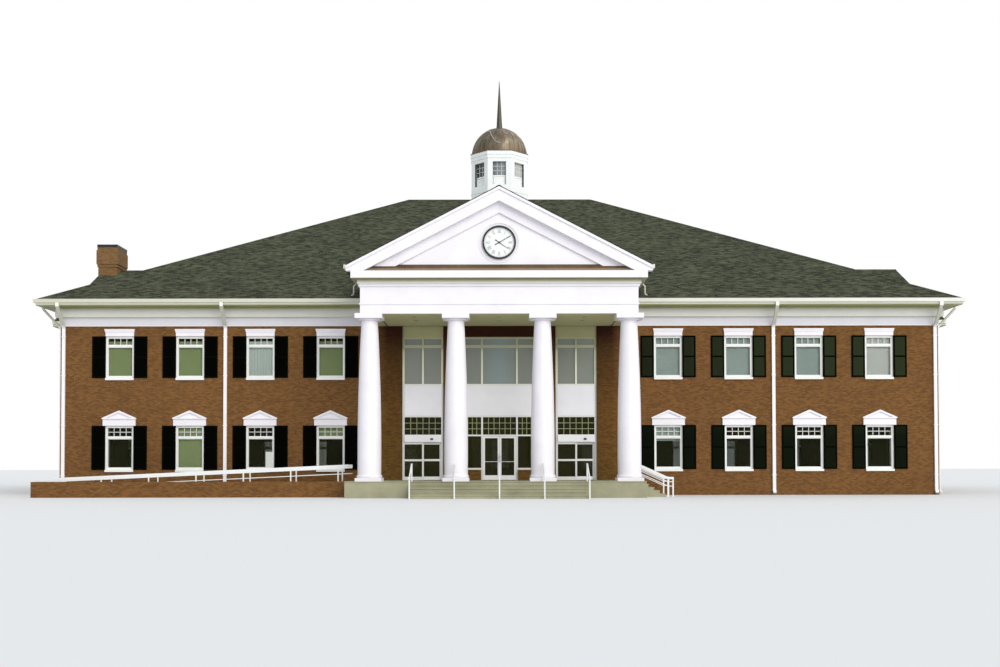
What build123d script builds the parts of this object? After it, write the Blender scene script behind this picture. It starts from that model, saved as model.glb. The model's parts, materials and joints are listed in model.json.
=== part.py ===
"""A two-storey brick town hall with a columned portico, at half its real size.

Millimetres of the 1:2 model. The front faces -Y, +X is to the right of someone who looks
at the front, +Z is up. The origin is on the ground, under the centre of the main block.
"""
from build123d import *
import math
import os

# Main block, measured to the outer faces of its walls
main_width = 24620
main_depth = 18100
wall_thickness = 200
floor_level = 425
storey_height = 2285
floor_slab = 200
brick_top = 4750

# Wings, one at the middle of each side, with a gable over their end wall
wing_projection = 1690
wing_width = 8290
rake_overhang = 230
rake_board_depth = 260

# Frieze, eaves and roofs
lower_frieze_height = 250
lower_frieze_projection = 25
upper_frieze_height = 275
upper_frieze_projection = 125
eaves_overhang = 500
fascia_thickness = 15
eaves_height = 175
roof_slope = 0.518
roof_thickness = 169
roof_skin = 30
slab_joint = 2
gutter_width = 55
gutter_depth = 100
gutter_wall = 8

# Downspouts
spout_width = 90
spout_depth = 50
spout_foot = 60
side_spout_x = 7685
spout_neck = 20
spout_landing = 50
spout_kick = 60
spout_kick_rise = 90
corner_spout_inset = 90

# Windows of the wings of the front, repeated round the building
window_width = 795
window_spacing = 1973
first_window_x = 4732
windows_each_side = 4
ground_sill_height = 300
ground_window_height = 1235
ground_transom_drop = 295
upper_sill_height = 590
upper_window_height = 1170
upper_transom_drop = 230
window_bar = 60
transom_bar = 80
window_recess = 30
window_frame_depth = 90
window_bar_depth = 40
glass_thickness = 12
sill_height = 60
sill_projection = 45
shutter_width = 375
shutter_thickness = 25
shutter_stile = 45
shutter_panel_depth = 10

# Heads of the windows
pediment_band_height = 185
pediment_band_extra = 60
pediment_band_projection = 40
pediment_width = 957
pediment_tip = 30
pediment_rise = 210
pediment_projection = 75
pediment_moulding = 55
crown_height = 200
crown_flare = 22
crown_step = 15

# Portico
portico_depth = 2450
beam_thickness = 450
column_spacing = 2245
architrave_height = 275
frieze_height = 395
bed_mould_height = 220
bed_mould_projection = 70
architrave_step = 20
cornice_height = 190
cornice_projection = 220
apron_setback = 5
apron_rise = 190
portico_eaves_overhang = 125
portico_eaves_rise = 156
rake_cornice_height = 390
rake_frieze_height = 250
rake_frieze_projection = 60
crown_strip_height = 70
crown_strip_projection = 35
tympanum_thickness = 100
ceiling_thickness = 100

# Columns
shaft_bottom_diameter = 608
shaft_top_diameter = 420
plinth_width = 680
plinth_height = 90
abacus_width = 700
abacus_height = 125
base_torus_height = 75
echinus_height = 40
echinus_diameter = 590
moulding_round = 18

# Podium, steps and ramp
podium_edge = 500
podium_left = 3950
podium_right = 3750
step_rise = 85
step_going = 175
front_steps_half_width = 2275
side_step_going = 150
side_way_front = 2050
side_way_width = 900
ramp_length = 8350
ramp_low_height = 50
ramp_wall_thickness = 150
ramp_wall_drop = 10

# Handrails
rail_height = 440
rail_radius = 20
post_radius = 18
rail_extension = 150
ramp_post_spacing = 1250
ramp_first_post = 540
ramp_band_height = 100
ramp_band_thickness = 30
lower_rail_drop = 230
lower_rail_height = 20
lower_rail_thickness = 15
side_band_height = 60

# Entrance bays
bay_recess = 50
bay_frame_depth = 100
centre_bay_half_width = 1075
pier_width = 500
side_bay_width = 1150
centre_bay_height = 4020
bay_jamb = 60
bay_bar = 50
mullion = 50
door_opening_half_width = 465
door_head_height = 1230
bulkhead_height = 290
transom_top = 1765
transom_gap = 45
spandrel_bottom = 1815
spandrel_top = 2650
upper_glass_bottom = 2700
upper_glass_top = 3715
top_light_bottom = 3795
top_light_top = 3965
head_panel_bottom = 4020
slider_head_height = 1050
slider_operator_height = 190
spandrel_thickness = 30

# Door leaves
door_thickness = 24
door_gap = 5
door_stile = 50
door_bottom_rail = 129
door_mid_rail_height = 505
door_mid_rail = 12
pull_length = 190
pull_height = 560
pull_reach = 35
pull_radius = 9
slider_thickness = 30
slider_clearance = 10
slider_stile = 45
slider_bottom_rail = 95
slider_mid_rail_height = 530
slider_mid_rail = 55
sensor_size = 40

# Clock
clock_rise = 755
clock_diameter = 870
clock_rim = 46
clock_depth = 60
clock_back = 10
dial_thickness = 10
hand_thickness = 6
hand_gap = 6
arbor_diameter = 24
arbor_clearance = 1
minute_hand_length = 350
hour_hand_length = 265
hand_tail = 105
hand_width = 16
minute_hand_angle = 60
hour_hand_angle = 125
surround_radius = 525
surround_width = 26
surround_projection = 14

# Cupola
cupola_width = 1985
cupola_wall = 130
cupola_rise = 75
cupola_base_height = 190
cupola_base_projection = 10
cupola_niche_gap = 50
cupola_niche_width = 470
cupola_niche_recess = 85
cupola_panel_height = 345
cupola_window_height = 480
cupola_frame = 6
cupola_cornice_gap = 121
cupola_cornice_height = 250
cupola_cornice_projection = 25
dome_flange = 10
dome_flange_thickness = 25
dome_radius = 985
dome_height = 1029
dome_thickness = 20
dome_seams = 32
dome_seam_width = 14
dome_seam_height = 12
spire_height = 1725
spire_base_diameter = 215
spire_tip_diameter = 16
spire_collar = 30

# Chimney on the end of the left wing
chimney_projection = 240
chimney_width = 655
chimney_depth = 1025
chimney_shaft_rise = 44
chimney_head_height = 700
chimney_corbel = 50
chimney_corbel_step = 100
chimney_cap_height = 100
chimney_cap_overhang = 30

# Sizes that follow from those above
half_width = main_width / 2
half_depth = main_depth / 2
front_y = -half_depth
wing_end_x = half_width + wing_projection
wing_half_width = wing_width / 2
upper_floor_level = floor_level + storey_height
eaves_bottom = brick_top + lower_frieze_height + upper_frieze_height
eaves_top = eaves_bottom + eaves_height
beam_half_width = column_spacing * 1.5 + beam_thickness / 2
beam_front_y = front_y - portico_depth - beam_thickness / 2
beam_back_y = beam_front_y + beam_thickness
column_y = front_y - portico_depth
entablature_top = brick_top + architrave_height + frieze_height + bed_mould_height + cornice_height
cornice_bottom = entablature_top - cornice_height
portico_eaves_x = beam_half_width + cornice_projection + portico_eaves_overhang
portico_eaves_top = entablature_top + portico_eaves_rise
portico_ridge = portico_eaves_top + roof_slope * portico_eaves_x
wing_ridge = eaves_top + roof_slope * (wing_half_width + eaves_overhang)
main_ridge = eaves_top + roof_slope * (half_depth + eaves_overhang)
podium_front_y = column_y - podium_edge
ramp_end_x = podium_left + ramp_length
side_bay_inner_x = centre_bay_half_width + pier_width
side_bay_outer_x = side_bay_inner_x + side_bay_width
clock_height = entablature_top + clock_rise
cupola_base_bottom = main_ridge + cupola_rise
cupola_niche_bottom = cupola_base_bottom + cupola_base_height + cupola_niche_gap
cupola_window_bottom = cupola_niche_bottom + cupola_panel_height
cupola_niche_top = cupola_window_bottom + cupola_window_height
cupola_cornice_bottom = cupola_niche_top + cupola_cornice_gap
cupola_top = cupola_cornice_bottom + cupola_cornice_height
dome_base = cupola_top + dome_flange_thickness
chimney_outer_x = wing_end_x + chimney_projection
chimney_shaft_top = wing_ridge + chimney_shaft_rise
bay_front_y = front_y + bay_recess
bay_back_y = bay_front_y + bay_frame_depth
side_bay_height = brick_top - floor_level
high = cupola_top + dome_height + spire_height + 1000


def block(x0, x1, y0, y1, z0, z1):
    """A box between two corners."""
    centre = Pos((x0 + x1) / 2, (y0 + y1) / 2, (z0 + z1) / 2)
    return centre * Box(x1 - x0, y1 - y0, z1 - z0)


def along_y(points, y0, y1):
    """An outline of (x, z) points, seen from the front, carried from y0 back to y1."""
    outline = make_face(Polyline(*[(x, y0, z) for x, z in points], close=True))
    return extrude(outline, amount=y1 - y0, dir=(0, 1, 0))


def along_x(points, x0, x1):
    """An outline of (y, z) points carried from x0 to x1."""
    outline = make_face(Polyline(*[(x0, y, z) for y, z in points], close=True))
    return extrude(outline, amount=x1 - x0, dir=(1, 0, 0))


def fuse(pieces):
    """One shape from several that touch or overlap."""
    pieces = list(pieces)
    return pieces[0].fuse(*pieces[1:]).clean() if len(pieces) > 1 else pieces[0]


def apart(pieces):
    """Several pieces that don't touch, kept as separate solids of one node."""
    solids = [solid for piece in pieces for solid in piece.solids()]
    return Compound(children=solids)


def both_sides(piece):
    """A piece and its mirror image across the middle of the front."""
    return [piece, piece.mirror(Plane.YZ)]


# Roof forms

def gable(half_span, top_at_edge, bottom=0):
    """The outline under a pair of equal slopes."""
    apex = top_at_edge + roof_slope * half_span
    return [(-half_span, bottom), (half_span, bottom), (half_span, top_at_edge), (0, apex),
            (-half_span, top_at_edge)]


def under_hip(drop=0):
    """Everything under the hipped roof of the main block, lowered by a drop."""
    span_x = half_width + eaves_overhang
    span_y = half_depth + eaves_overhang
    long_way = along_x(gable(span_y, eaves_top - drop), -span_x, span_x)
    short_way = along_y(gable(span_x, eaves_top - drop), -span_y, span_y)
    return long_way & short_way


def under_wings(drop=0, end=wing_end_x + rake_overhang):
    """Everything under the roof that runs through from wing to wing."""
    return along_x(gable(wing_half_width + eaves_overhang, eaves_top - drop), -end, end)


def under_portico(drop=0, front=beam_front_y - cornice_projection):
    """Everything under the portico's roof, back to where the main roof has passed it."""
    back = front_y - eaves_overhang + (portico_ridge - eaves_top) / roof_slope + 200
    return along_y(gable(portico_eaves_x, portico_eaves_top - drop), front, back)


def portico_space():
    """The space in front of the wall that belongs to the portico."""
    return block(-beam_half_width, beam_half_width, podium_front_y, front_y, 0, high)


def main_mass():
    """Everything under the main roof except in front of the entrance wall."""
    return under_hip() - portico_space()


def chimney_space(grow=0):
    """The upright space that the chimney takes through walls, eaves and roof."""
    return block(-chimney_outer_x - grow, -chimney_outer_x + chimney_width + grow,
                 -chimney_depth / 2 - grow, chimney_depth / 2 + grow, 0, high)


def over_plan(points):
    """Everything over an outline of (x, y) points on the ground."""
    outline = make_face(Polyline(*[(x, y, 0) for x, y in points], close=True))
    return extrude(outline, amount=high, dir=(0, 0, 1))


def cut_across(shape, ys):
    """A shape parted at each y by a narrow open joint."""
    return shape - [block(-high, high, y - slab_joint / 2, y + slab_joint / 2, 0, high) for y in ys]


def make_main_roof():
    """Six flat slabs: the front and rear slopes, and each hipped end in two halves."""
    roof = main_mass() - under_hip(roof_thickness) - under_wings(roof_thickness)
    roof -= block(-high, high, -high, high, 0, eaves_top - roof_thickness)
    gap = slab_joint / 2
    x = half_width + eaves_overhang
    y = half_depth + eaves_overhang
    slope = over_plan([(gap - x, -y), (x - gap, -y), (x - y, -gap), (y - x, -gap)])
    half_end = over_plan([(x, gap - y), (x, -gap), (x - y + gap * 2, -gap)])
    regions = [slope] + both_sides(half_end)
    regions += [region.mirror(Plane.XZ) for region in regions]
    return apart([roof & region for region in regions])


def make_wing_roofs():
    """Two slopes on each wing: full thickness over the rooms, a thin skin over the rake boards."""
    over_rooms = under_wings() - under_wings(roof_thickness)
    over_boards = under_wings() - under_wings(roof_skin)
    beyond = block(-wing_end_x, wing_end_x, -high, high, 0, high)
    roofs = (over_rooms & beyond).fuse(over_boards - beyond) - under_hip() - chimney_space()
    return apart([cut_across(roofs, [0])])


def make_wing_rakes():
    """Boards under the overhanging edge of each wing's gable."""
    outer = under_wings(roof_skin) - under_wings(roof_skin + rake_board_depth)
    rooms = block(-wing_end_x, wing_end_x, -high, high, 0, high)
    boards = outer - rooms - chimney_space()
    boards = boards - block(-high, high, -high, high, 0, eaves_bottom + eaves_height / 2)
    return apart([boards])


# Walls and floors

def under_roofs(drop):
    return under_hip(drop).fuse(under_wings(drop, wing_end_x))


def rear_window_xs():
    """The middles of the rear wall's windows, evenly spaced about the centre."""
    count = int((main_width - shutter_width * 4) / window_spacing)
    return [(i - (count - 1) / 2) * window_spacing for i in range(count)]


def window_places():
    """Where each window goes: its centre on a wall's outer face, and the way it faces."""
    front = [side * (first_window_x + i * window_spacing)
             for side in (-1, 1) for i in range(windows_each_side)]
    places = [Location((x, front_y, 0), (0, 0, 0)) for x in front]
    places += [Location((x, half_depth, 0), (0, 0, 180)) for x in rear_window_xs()]
    side_middle = (wing_half_width + half_depth) / 2
    side = [way * (side_middle + shift * window_spacing / 2) for way in (-1, 1) for shift in (-1, 1)]
    places += [Location((-half_width, y, 0), (0, 0, -90)) for y in side]
    places += [Location((half_width, y, 0), (0, 0, 90)) for y in side]
    ends = [-window_spacing, window_spacing]
    places += [Location((-wing_end_x, y, 0), (0, 0, -90)) for y in ends]
    places += [Location((wing_end_x, y, 0), (0, 0, 90)) for y in ends]
    return places


class Storey:
    """The heights of one storey's windows."""

    def __init__(self, sill, height, transom_drop):
        self.sill = sill
        self.top = sill + height
        self.transom_top = self.top - transom_drop


ground_windows = Storey(floor_level + ground_sill_height, ground_window_height, ground_transom_drop)
upper_windows = Storey(upper_floor_level + upper_sill_height, upper_window_height, upper_transom_drop)
storeys = [ground_windows, upper_windows]


def window_holes():
    half = window_width / 2
    return [place * block(-half, half, -10, wall_thickness + 10, storey.sill - sill_height, storey.top)
            for storey in storeys for place in window_places()]


def wall(x0, x1, y0, y1, z0=0):
    """A straight wall up to the underside of the roof, with its windows cut through."""
    plain = block(x0, x1, y0, y1, z0, high) & under_roofs(roof_thickness)
    reach = plain.bounding_box()
    near = [hole for hole in window_holes() if touches(hole.bounding_box(), reach)]
    return plain - near if near else plain


def touches(a, b):
    """True where two boxes share space."""
    return (a.min.X < b.max.X and b.min.X < a.max.X and a.min.Y < b.max.Y and b.min.Y < a.max.Y)


def make_front_wall_right():
    return wall(side_bay_outer_x, half_width, front_y, front_y + wall_thickness)


def make_rear_wall():
    return wall(-half_width, half_width, half_depth - wall_thickness, half_depth)


def make_right_side_walls():
    inner = half_width - wall_thickness
    ends = half_depth - wall_thickness
    return apart([wall(inner, half_width, -ends, -wing_half_width),
                  wall(inner, half_width, wing_half_width, ends)])


def make_wing_side_walls():
    inner = half_width - wall_thickness
    outer = wing_end_x - wall_thickness
    front = wall(inner, outer, -wing_half_width, wall_thickness - wing_half_width)
    rear = wall(inner, outer, wing_half_width - wall_thickness, wing_half_width)
    return apart(both_sides(front) + both_sides(rear))


def make_right_wing_end_wall():
    return wall(wing_end_x - wall_thickness, wing_end_x, -wing_half_width, wing_half_width)


def rooms(z0, z1):
    """The space inside the walls, from wing to wing, between two heights."""
    main_x = half_width - wall_thickness
    main_y = half_depth - wall_thickness
    wing_x = wing_end_x - wall_thickness
    wing_y = wing_half_width - wall_thickness
    main = block(-main_x, main_x, -main_y, main_y, z0, z1)
    return main.fuse(block(-wing_x, wing_x, -wing_y, wing_y, z0, z1)).clean() - chimney_space()


def make_ground_floor():
    """The slab, carried forward under the glazed bays as their threshold."""
    threshold = block(-side_bay_outer_x, side_bay_outer_x, front_y, front_y + wall_thickness,
                      0, floor_level)
    return fuse([rooms(0, floor_level), threshold])


def make_upper_floor():
    return rooms(upper_floor_level - floor_slab, upper_floor_level)


# Windows

def window_frame(storey):
    """A frame with its transom bar, standing on a sill that projects from the wall."""
    half = window_width / 2
    front = window_recess
    back = front + window_frame_depth
    ring = block(-half, half, front, back, storey.sill, storey.top)
    ring -= block(-half + window_bar, half - window_bar, front, back,
                  storey.sill + window_bar, storey.top - window_bar)
    bar = block(-half + window_bar, half - window_bar, front, front + window_bar_depth,
                storey.transom_top - transom_bar, storey.transom_top)
    sill = block(-half, half, -sill_projection, back, storey.sill - sill_height, storey.sill)
    return fuse([ring, bar, sill])


def window_pane(storey):
    """One sheet of glass behind the transom bar."""
    half = window_width / 2 - window_bar
    front = window_recess + window_bar_depth
    return block(-half, half, front, front + glass_thickness,
                 storey.sill + window_bar, storey.top - window_bar)


def shutters(storey):
    """A pair of shutters on the wall's face, each with two sunk fields for its louvres."""
    inner = window_width / 2
    shutter = block(inner, inner + shutter_width, -shutter_thickness, 0, storey.sill, storey.top)
    middle = (storey.sill + storey.top) / 2
    field_height = (storey.top - storey.sill) / 2 - shutter_stile * 1.5
    for bottom in (storey.sill + shutter_stile, middle + shutter_stile / 2):
        shutter -= block(inner + shutter_stile, inner + shutter_width - shutter_stile,
                         -shutter_thickness, shutter_panel_depth - shutter_thickness,
                         bottom, bottom + field_height)
    return both_sides(shutter)


def window_pediment(storey):
    """A flat band under a small gable with a sunk field, over a ground floor window."""
    band_half = window_width / 2 + pediment_band_extra
    band_top = storey.top + pediment_band_height
    tip_top = band_top + pediment_tip
    half = pediment_width / 2
    band = block(-band_half, band_half, -pediment_band_projection, 0, storey.top, band_top)
    roof = along_y([(-half, band_top), (half, band_top), (half, tip_top),
                    (0, tip_top + pediment_rise), (-half, tip_top)], -pediment_projection, 0)
    slope = pediment_rise / half
    field_half = half - pediment_moulding / slope
    field = along_y([(-field_half, tip_top), (field_half, tip_top),
                     (0, tip_top + slope * field_half)],
                    -pediment_projection, -pediment_band_projection)
    return fuse([band, roof - field])


def window_crown(storey):
    """A board that steps out under a wider cap, over an upper window."""
    half = window_width / 2
    heights = [crown_height * part for part in (0, 0.55, 0.78, 1)]
    layers = []
    for i in range(3):
        wide = half + crown_flare * i / 2
        layers.append(block(-wide, wide, -crown_step * (i + 2), 0,
                            storey.top + heights[i], storey.top + heights[i + 1]))
    return fuse(layers)


def repeat(make, *storeys_used):
    """A window's piece at every window of the given storeys."""
    pieces = []
    for storey in storeys_used:
        made = make(storey)
        made = made if isinstance(made, list) else [made]
        pieces += [place * piece for place in window_places() for piece in made]
    return pieces


# Eaves, gutters and downspouts

def ring(outer, inner, z0, z1):
    """A band round the whole building, between two distances from its walls."""
    def filled(out):
        main = block(-half_width - out, half_width + out, -half_depth - out, half_depth + out, z0, z1)
        wing = block(-wing_end_x - out, wing_end_x + out,
                     -wing_half_width - out, wing_half_width + out, z0, z1)
        return main.fuse(wing).clean()
    return filled(outer) - filled(inner) - portico_space()


def make_eaves_cornice():
    """Two frieze bands, the soffit's wedge and the fascia, in straight runs, one for each wall."""
    frieze_middle = brick_top + lower_frieze_height
    gable_end = wing_end_x + rake_overhang
    keep = block(-gable_end, gable_end, -high, high, 0, high)
    under = under_hip(roof_thickness).fuse(under_wings(roof_thickness))
    soffit_top = eaves_bottom + eaves_height / 2
    layers = [ring(lower_frieze_projection, 0, brick_top, frieze_middle),
              ring(upper_frieze_projection, 0, frieze_middle, eaves_bottom),
              ring(eaves_overhang, 0, eaves_bottom, soffit_top) & under & keep]
    fascia = ring(eaves_overhang + fascia_thickness, eaves_overhang, eaves_bottom, eaves_top) & keep
    reach = wing_half_width + eaves_overhang + fascia_thickness
    cuts = [way * y for way in (-1, 1) for y in (half_depth, reach, wing_half_width)]
    return apart([cut_across(fuse(layers + [fascia]) - chimney_space(), cuts)])


def make_gutters():
    """Box gutters along the fascia, and along the portico's two eaves."""
    inner = eaves_overhang + fascia_thickness
    outer = inner + gutter_width
    gable_end = wing_end_x + rake_overhang
    keep = block(-gable_end, gable_end, -high, high, 0, high)
    channel = ring(outer, inner, eaves_top - gutter_depth, eaves_top)
    trough = ring(outer - gutter_wall, inner + gutter_wall,
                  eaves_top - gutter_depth + gutter_wall, eaves_top)
    portico = block(portico_eaves_x, portico_eaves_x + gutter_width,
                    beam_front_y - cornice_projection, front_y,
                    portico_eaves_top - gutter_depth, portico_eaves_top)
    portico -= block(portico_eaves_x + gutter_wall, portico_eaves_x + gutter_width - gutter_wall,
                     beam_front_y - cornice_projection + gutter_wall, front_y,
                     portico_eaves_top - gutter_depth + gutter_wall, portico_eaves_top)
    return apart([(channel - trough) & keep] + both_sides(portico - main_mass()))


def spout(outlet):
    """One downspout: down from the gutter, back to the wall in one slant, and down it."""
    wall_line = -spout_depth / 2
    path = Polyline((0, -outlet, eaves_top - gutter_depth),
                    (0, -outlet, eaves_bottom - spout_neck),
                    (0, wall_line, brick_top - spout_landing),
                    (0, wall_line, spout_foot + spout_kick_rise),
                    (0, wall_line - spout_kick, spout_foot))
    section = Plane(path @ 0, x_dir=(1, 0, 0), z_dir=path % 0) * Rectangle(spout_width, spout_depth)
    return sweep(section, path=path, transition=Transition.RIGHT)


def make_downspouts():
    outlet = eaves_overhang + fascia_thickness + gutter_width / 2
    one = spout(outlet)
    corner_x = half_width - corner_spout_inset
    corner_y = half_depth - corner_spout_inset
    places = [Location((x, -half_depth, 0), (0, 0, 0)) for x in (-side_spout_x, side_spout_x)]
    places += [Location((x, -half_depth, 0), (0, 0, 0)) for x in (-corner_x, corner_x)]
    rear_x = sum(rear_window_xs()[-3:-1]) / 2
    places += [Location((x, half_depth, 0), (0, 0, 180)) for x in (-rear_x, rear_x)]
    places += [Location((x, half_depth, 0), (0, 0, 180)) for x in (-corner_x, corner_x)]
    places += [Location((-half_width, y, 0), (0, 0, -90)) for y in (-corner_y, corner_y)]
    places += [Location((half_width, y, 0), (0, 0, 90)) for y in (-corner_y, corner_y)]
    return apart([place * one for place in places])


# Portico

def make_podium():
    return block(-podium_left, podium_right, podium_front_y, front_y, 0, floor_level)


def flight(rise, going, count, width):
    """Steps that go down along +X from a floor at the origin's height, count risers high."""
    points = [(0, -rise * count), (0, -rise)]
    for i in range(1, count):
        points += [(going * i, -rise * i)]
        points += [(going * i, -rise * (i + 1))]
    outline = make_face(Polyline(*[(x, 0, z) for x, z in points], close=True))
    return extrude(outline, amount=width, dir=(0, 1, 0))


def make_entrance_steps():
    """Steps in front of the podium, and a narrower flight off its right-hand end."""
    risers = round(floor_level / step_rise)
    front = Pos(-front_steps_half_width, podium_front_y, floor_level) * Rot(0, 0, -90)
    side = Pos(podium_right, front_y - side_way_front, floor_level)
    return apart([front * flight(step_rise, step_going, risers, front_steps_half_width * 2),
                  side * flight(step_rise, side_step_going, risers, side_way_width)])


def make_access_ramp():
    y0 = front_y - side_way_front + ramp_wall_thickness
    y1 = front_y - side_way_front + side_way_width + ramp_wall_thickness
    return along_y([(-ramp_end_x, 0), (-podium_left, 0), (-podium_left, floor_level),
                    (-ramp_end_x, ramp_low_height)], y0, y1)


def make_ramp_wall():
    y0 = front_y - side_way_front
    return block(-ramp_end_x, -podium_left, y0, y0 + ramp_wall_thickness, 0,
                 floor_level - ramp_wall_drop)


def column():
    """A Tuscan column: plinth, torus, a shaft that narrows by a curve, a low ring and an abacus."""
    foot = floor_level + plinth_height
    head = brick_top - abacus_height
    base_radius = shaft_bottom_diameter / 2
    neck_radius = shaft_top_diameter / 2
    shaft_foot = foot + base_torus_height
    shaft_head = head - echinus_height
    swell = 0.35 * (base_radius - neck_radius)
    middle = ((base_radius + neck_radius) / 2 + swell, (shaft_foot + shaft_head) / 2)
    torus = rounded_edge(plinth_width / 2 - 8, foot, shaft_foot)
    echinus = rounded_edge(echinus_diameter / 2, shaft_head, head)
    shaft = ThreePointArc((base_radius, shaft_foot), middle, (neck_radius, shaft_head))
    outline = Curve() + [Line((0, foot), torus @ 0), torus, Line(torus @ 1, shaft @ 0), shaft,
                         Line(shaft @ 1, echinus @ 0), echinus, Line(echinus @ 1, (0, head)),
                         Line((0, head), (0, foot))]
    turned = revolve(make_face(Plane.XZ * outline), Axis.Z)
    plinth = block(-plinth_width / 2, plinth_width / 2, -plinth_width / 2, plinth_width / 2,
                   floor_level, foot)
    abacus = block(-abacus_width / 2, abacus_width / 2, -abacus_width / 2, abacus_width / 2,
                   head, brick_top)
    return fuse([turned, plinth, abacus])


def rounded_edge(radius, z0, z1):
    """The bulging outline of a round moulding between two heights."""
    inner = radius - moulding_round
    return ThreePointArc((inner, z0), (radius, (z0 + z1) / 2), (inner, z1))


def make_columns():
    one = column()
    return apart([Pos((i - 1.5) * column_spacing, column_y, 0) * one for i in range(4)])


def make_portico_entablature():
    """The beam round three sides: architrave, frieze, bed mould and projecting cornice."""
    back = front_y + eaves_overhang
    inner = beam_half_width - beam_thickness

    def beam(out, z0, z1):
        reach = beam_half_width + out
        return block(-reach, reach, beam_front_y - out, back, z0, z1)

    body = fuse([beam(0, brick_top, entablature_top),
                 beam(architrave_step, brick_top + architrave_height - 40, brick_top + architrave_height),
                 beam(bed_mould_projection, cornice_bottom - bed_mould_height * 0.55, cornice_bottom),
                 beam(bed_mould_projection / 2, cornice_bottom - bed_mould_height * 0.85,
                      cornice_bottom),
                 beam(cornice_projection, cornice_bottom, entablature_top)])
    body -= block(-inner, inner, beam_back_y, back, brick_top, entablature_top)
    for side in (-1, 1):
        x0, x1 = sorted((side * inner, side * (beam_half_width + cornice_projection)))
        upstand = block(x0, x1, beam_back_y, back, entablature_top, high) & under_portico(roof_thickness)
        body = body.fuse(upstand)
    return largest(body.clean() - main_mass())


def largest(shape):
    return max(shape.solids(), key=lambda solid: solid.volume)


def make_portico_ceiling():
    inner = beam_half_width - beam_thickness
    return block(-inner, inner, beam_back_y, front_y, brick_top, brick_top + ceiling_thickness)


def rake_band(top_drop, height, y0, y1):
    """A pair of sloping boards under the portico's gable, above the flat cornice."""
    boards = along_y(gable(portico_eaves_x, portico_eaves_top - top_drop), y0, y1)
    boards -= along_y(gable(portico_eaves_x + 1, portico_eaves_top - top_drop - height - roof_slope),
                      y0, y1)
    above = block(-portico_eaves_x, portico_eaves_x, y0, y1, entablature_top, high)
    return boards & above


def make_pediment_cornice():
    """The raking cornice and its frieze, with a crown strip along the top edge."""
    front = beam_front_y
    cornice = rake_band(roof_skin, rake_cornice_height - roof_skin, front - cornice_projection, front)
    crown = rake_band(roof_skin, crown_strip_height,
                      front - cornice_projection - crown_strip_projection, front - cornice_projection)
    frieze = rake_band(roof_skin, rake_cornice_height + rake_frieze_height,
                       front - rake_frieze_projection, front)
    return fuse([cornice, crown, frieze])


def make_cornice_apron():
    """The clad slope that sheds water from the pediment's wall to the flat cornice's edge."""
    edge = beam_front_y - cornice_projection + apron_setback
    apron = along_x([(edge, entablature_top), (beam_front_y, entablature_top),
                     (beam_front_y, entablature_top + apron_rise)], -beam_half_width, beam_half_width)
    return largest(apron - make_pediment_cornice())


def make_tympanum():
    """The gable's wall, with a raised ring round the clock."""
    plate = block(-beam_half_width, beam_half_width, beam_front_y, beam_front_y + tympanum_thickness,
                  entablature_top, high) & under_portico(roof_thickness)
    surround = facing_front(clock_height, beam_front_y) * Cylinder(surround_radius, surround_projection)
    surround -= facing_front(clock_height, beam_front_y) * Cylinder(
        surround_radius - surround_width, surround_projection)
    return fuse([plate, Pos(0, -surround_projection / 2, 0) * surround])


def make_portico_roof():
    """Full thickness behind the gable's face, a thin skin over the raking cornice."""
    behind = block(-high, high, beam_front_y, 0, 0, high)
    deep = (under_portico() - under_portico(roof_thickness)) & behind
    skin = (under_portico() - under_portico(roof_skin)) - behind
    roof = largest(deep.fuse(skin).clean() - main_mass())
    return apart([roof - block(-slab_joint / 2, slab_joint / 2, -high, high, 0, high)])


# Entrance

def bay_holes(x_edges, rows):
    """Holes through a bay's frame: every pair of x edges, at every pair of heights."""
    return [block(x0, x1, bay_front_y, bay_back_y, floor_level + z0, floor_level + z1)
            for x0, x1 in x_edges for z0, z1 in rows]


centre_columns = [(bay_jamb - centre_bay_half_width, -door_opening_half_width - mullion),
                  (-door_opening_half_width, door_opening_half_width),
                  (door_opening_half_width + mullion, centre_bay_half_width - bay_jamb)]
transom_row = (door_head_height + transom_gap, transom_top)
upper_rows = [(upper_glass_bottom, upper_glass_top), (top_light_bottom, top_light_top)]
spandrel_row = (spandrel_bottom, spandrel_top)
head_panel_row = (head_panel_bottom, side_bay_height - bay_bar)
sidelight_row = (bulkhead_height + bay_bar, door_head_height)


def side_columns(side):
    """The two halves of a side bay between its jambs and its mullion."""
    left, right = sorted((side * side_bay_inner_x, side * side_bay_outer_x))
    middle = (left + right) / 2
    return [(left + bay_jamb, middle - mullion / 2), (middle + mullion / 2, right - bay_jamb)]


def full_width(columns):
    """From jamb to jamb, where no mullion parts the columns."""
    return columns[0][0], columns[-1][1]


def make_centre_bay_frame():
    top = floor_level + centre_bay_height
    frame = block(-centre_bay_half_width, centre_bay_half_width, bay_front_y, bay_back_y,
                  floor_level, top)
    frame -= bay_holes(centre_columns, [transom_row, spandrel_row] + upper_rows)
    frame -= bay_holes([centre_columns[0], centre_columns[2]], [sidelight_row])
    frame -= bay_holes([centre_columns[1]], [(0, door_head_height)])
    for side in (-1, 1):
        x0, x1 = sorted((side * (door_opening_half_width + mullion), side * centre_bay_half_width))
        frame -= block(x0, x1, bay_front_y, bay_back_y, floor_level, floor_level + bulkhead_height)
    return frame


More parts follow.
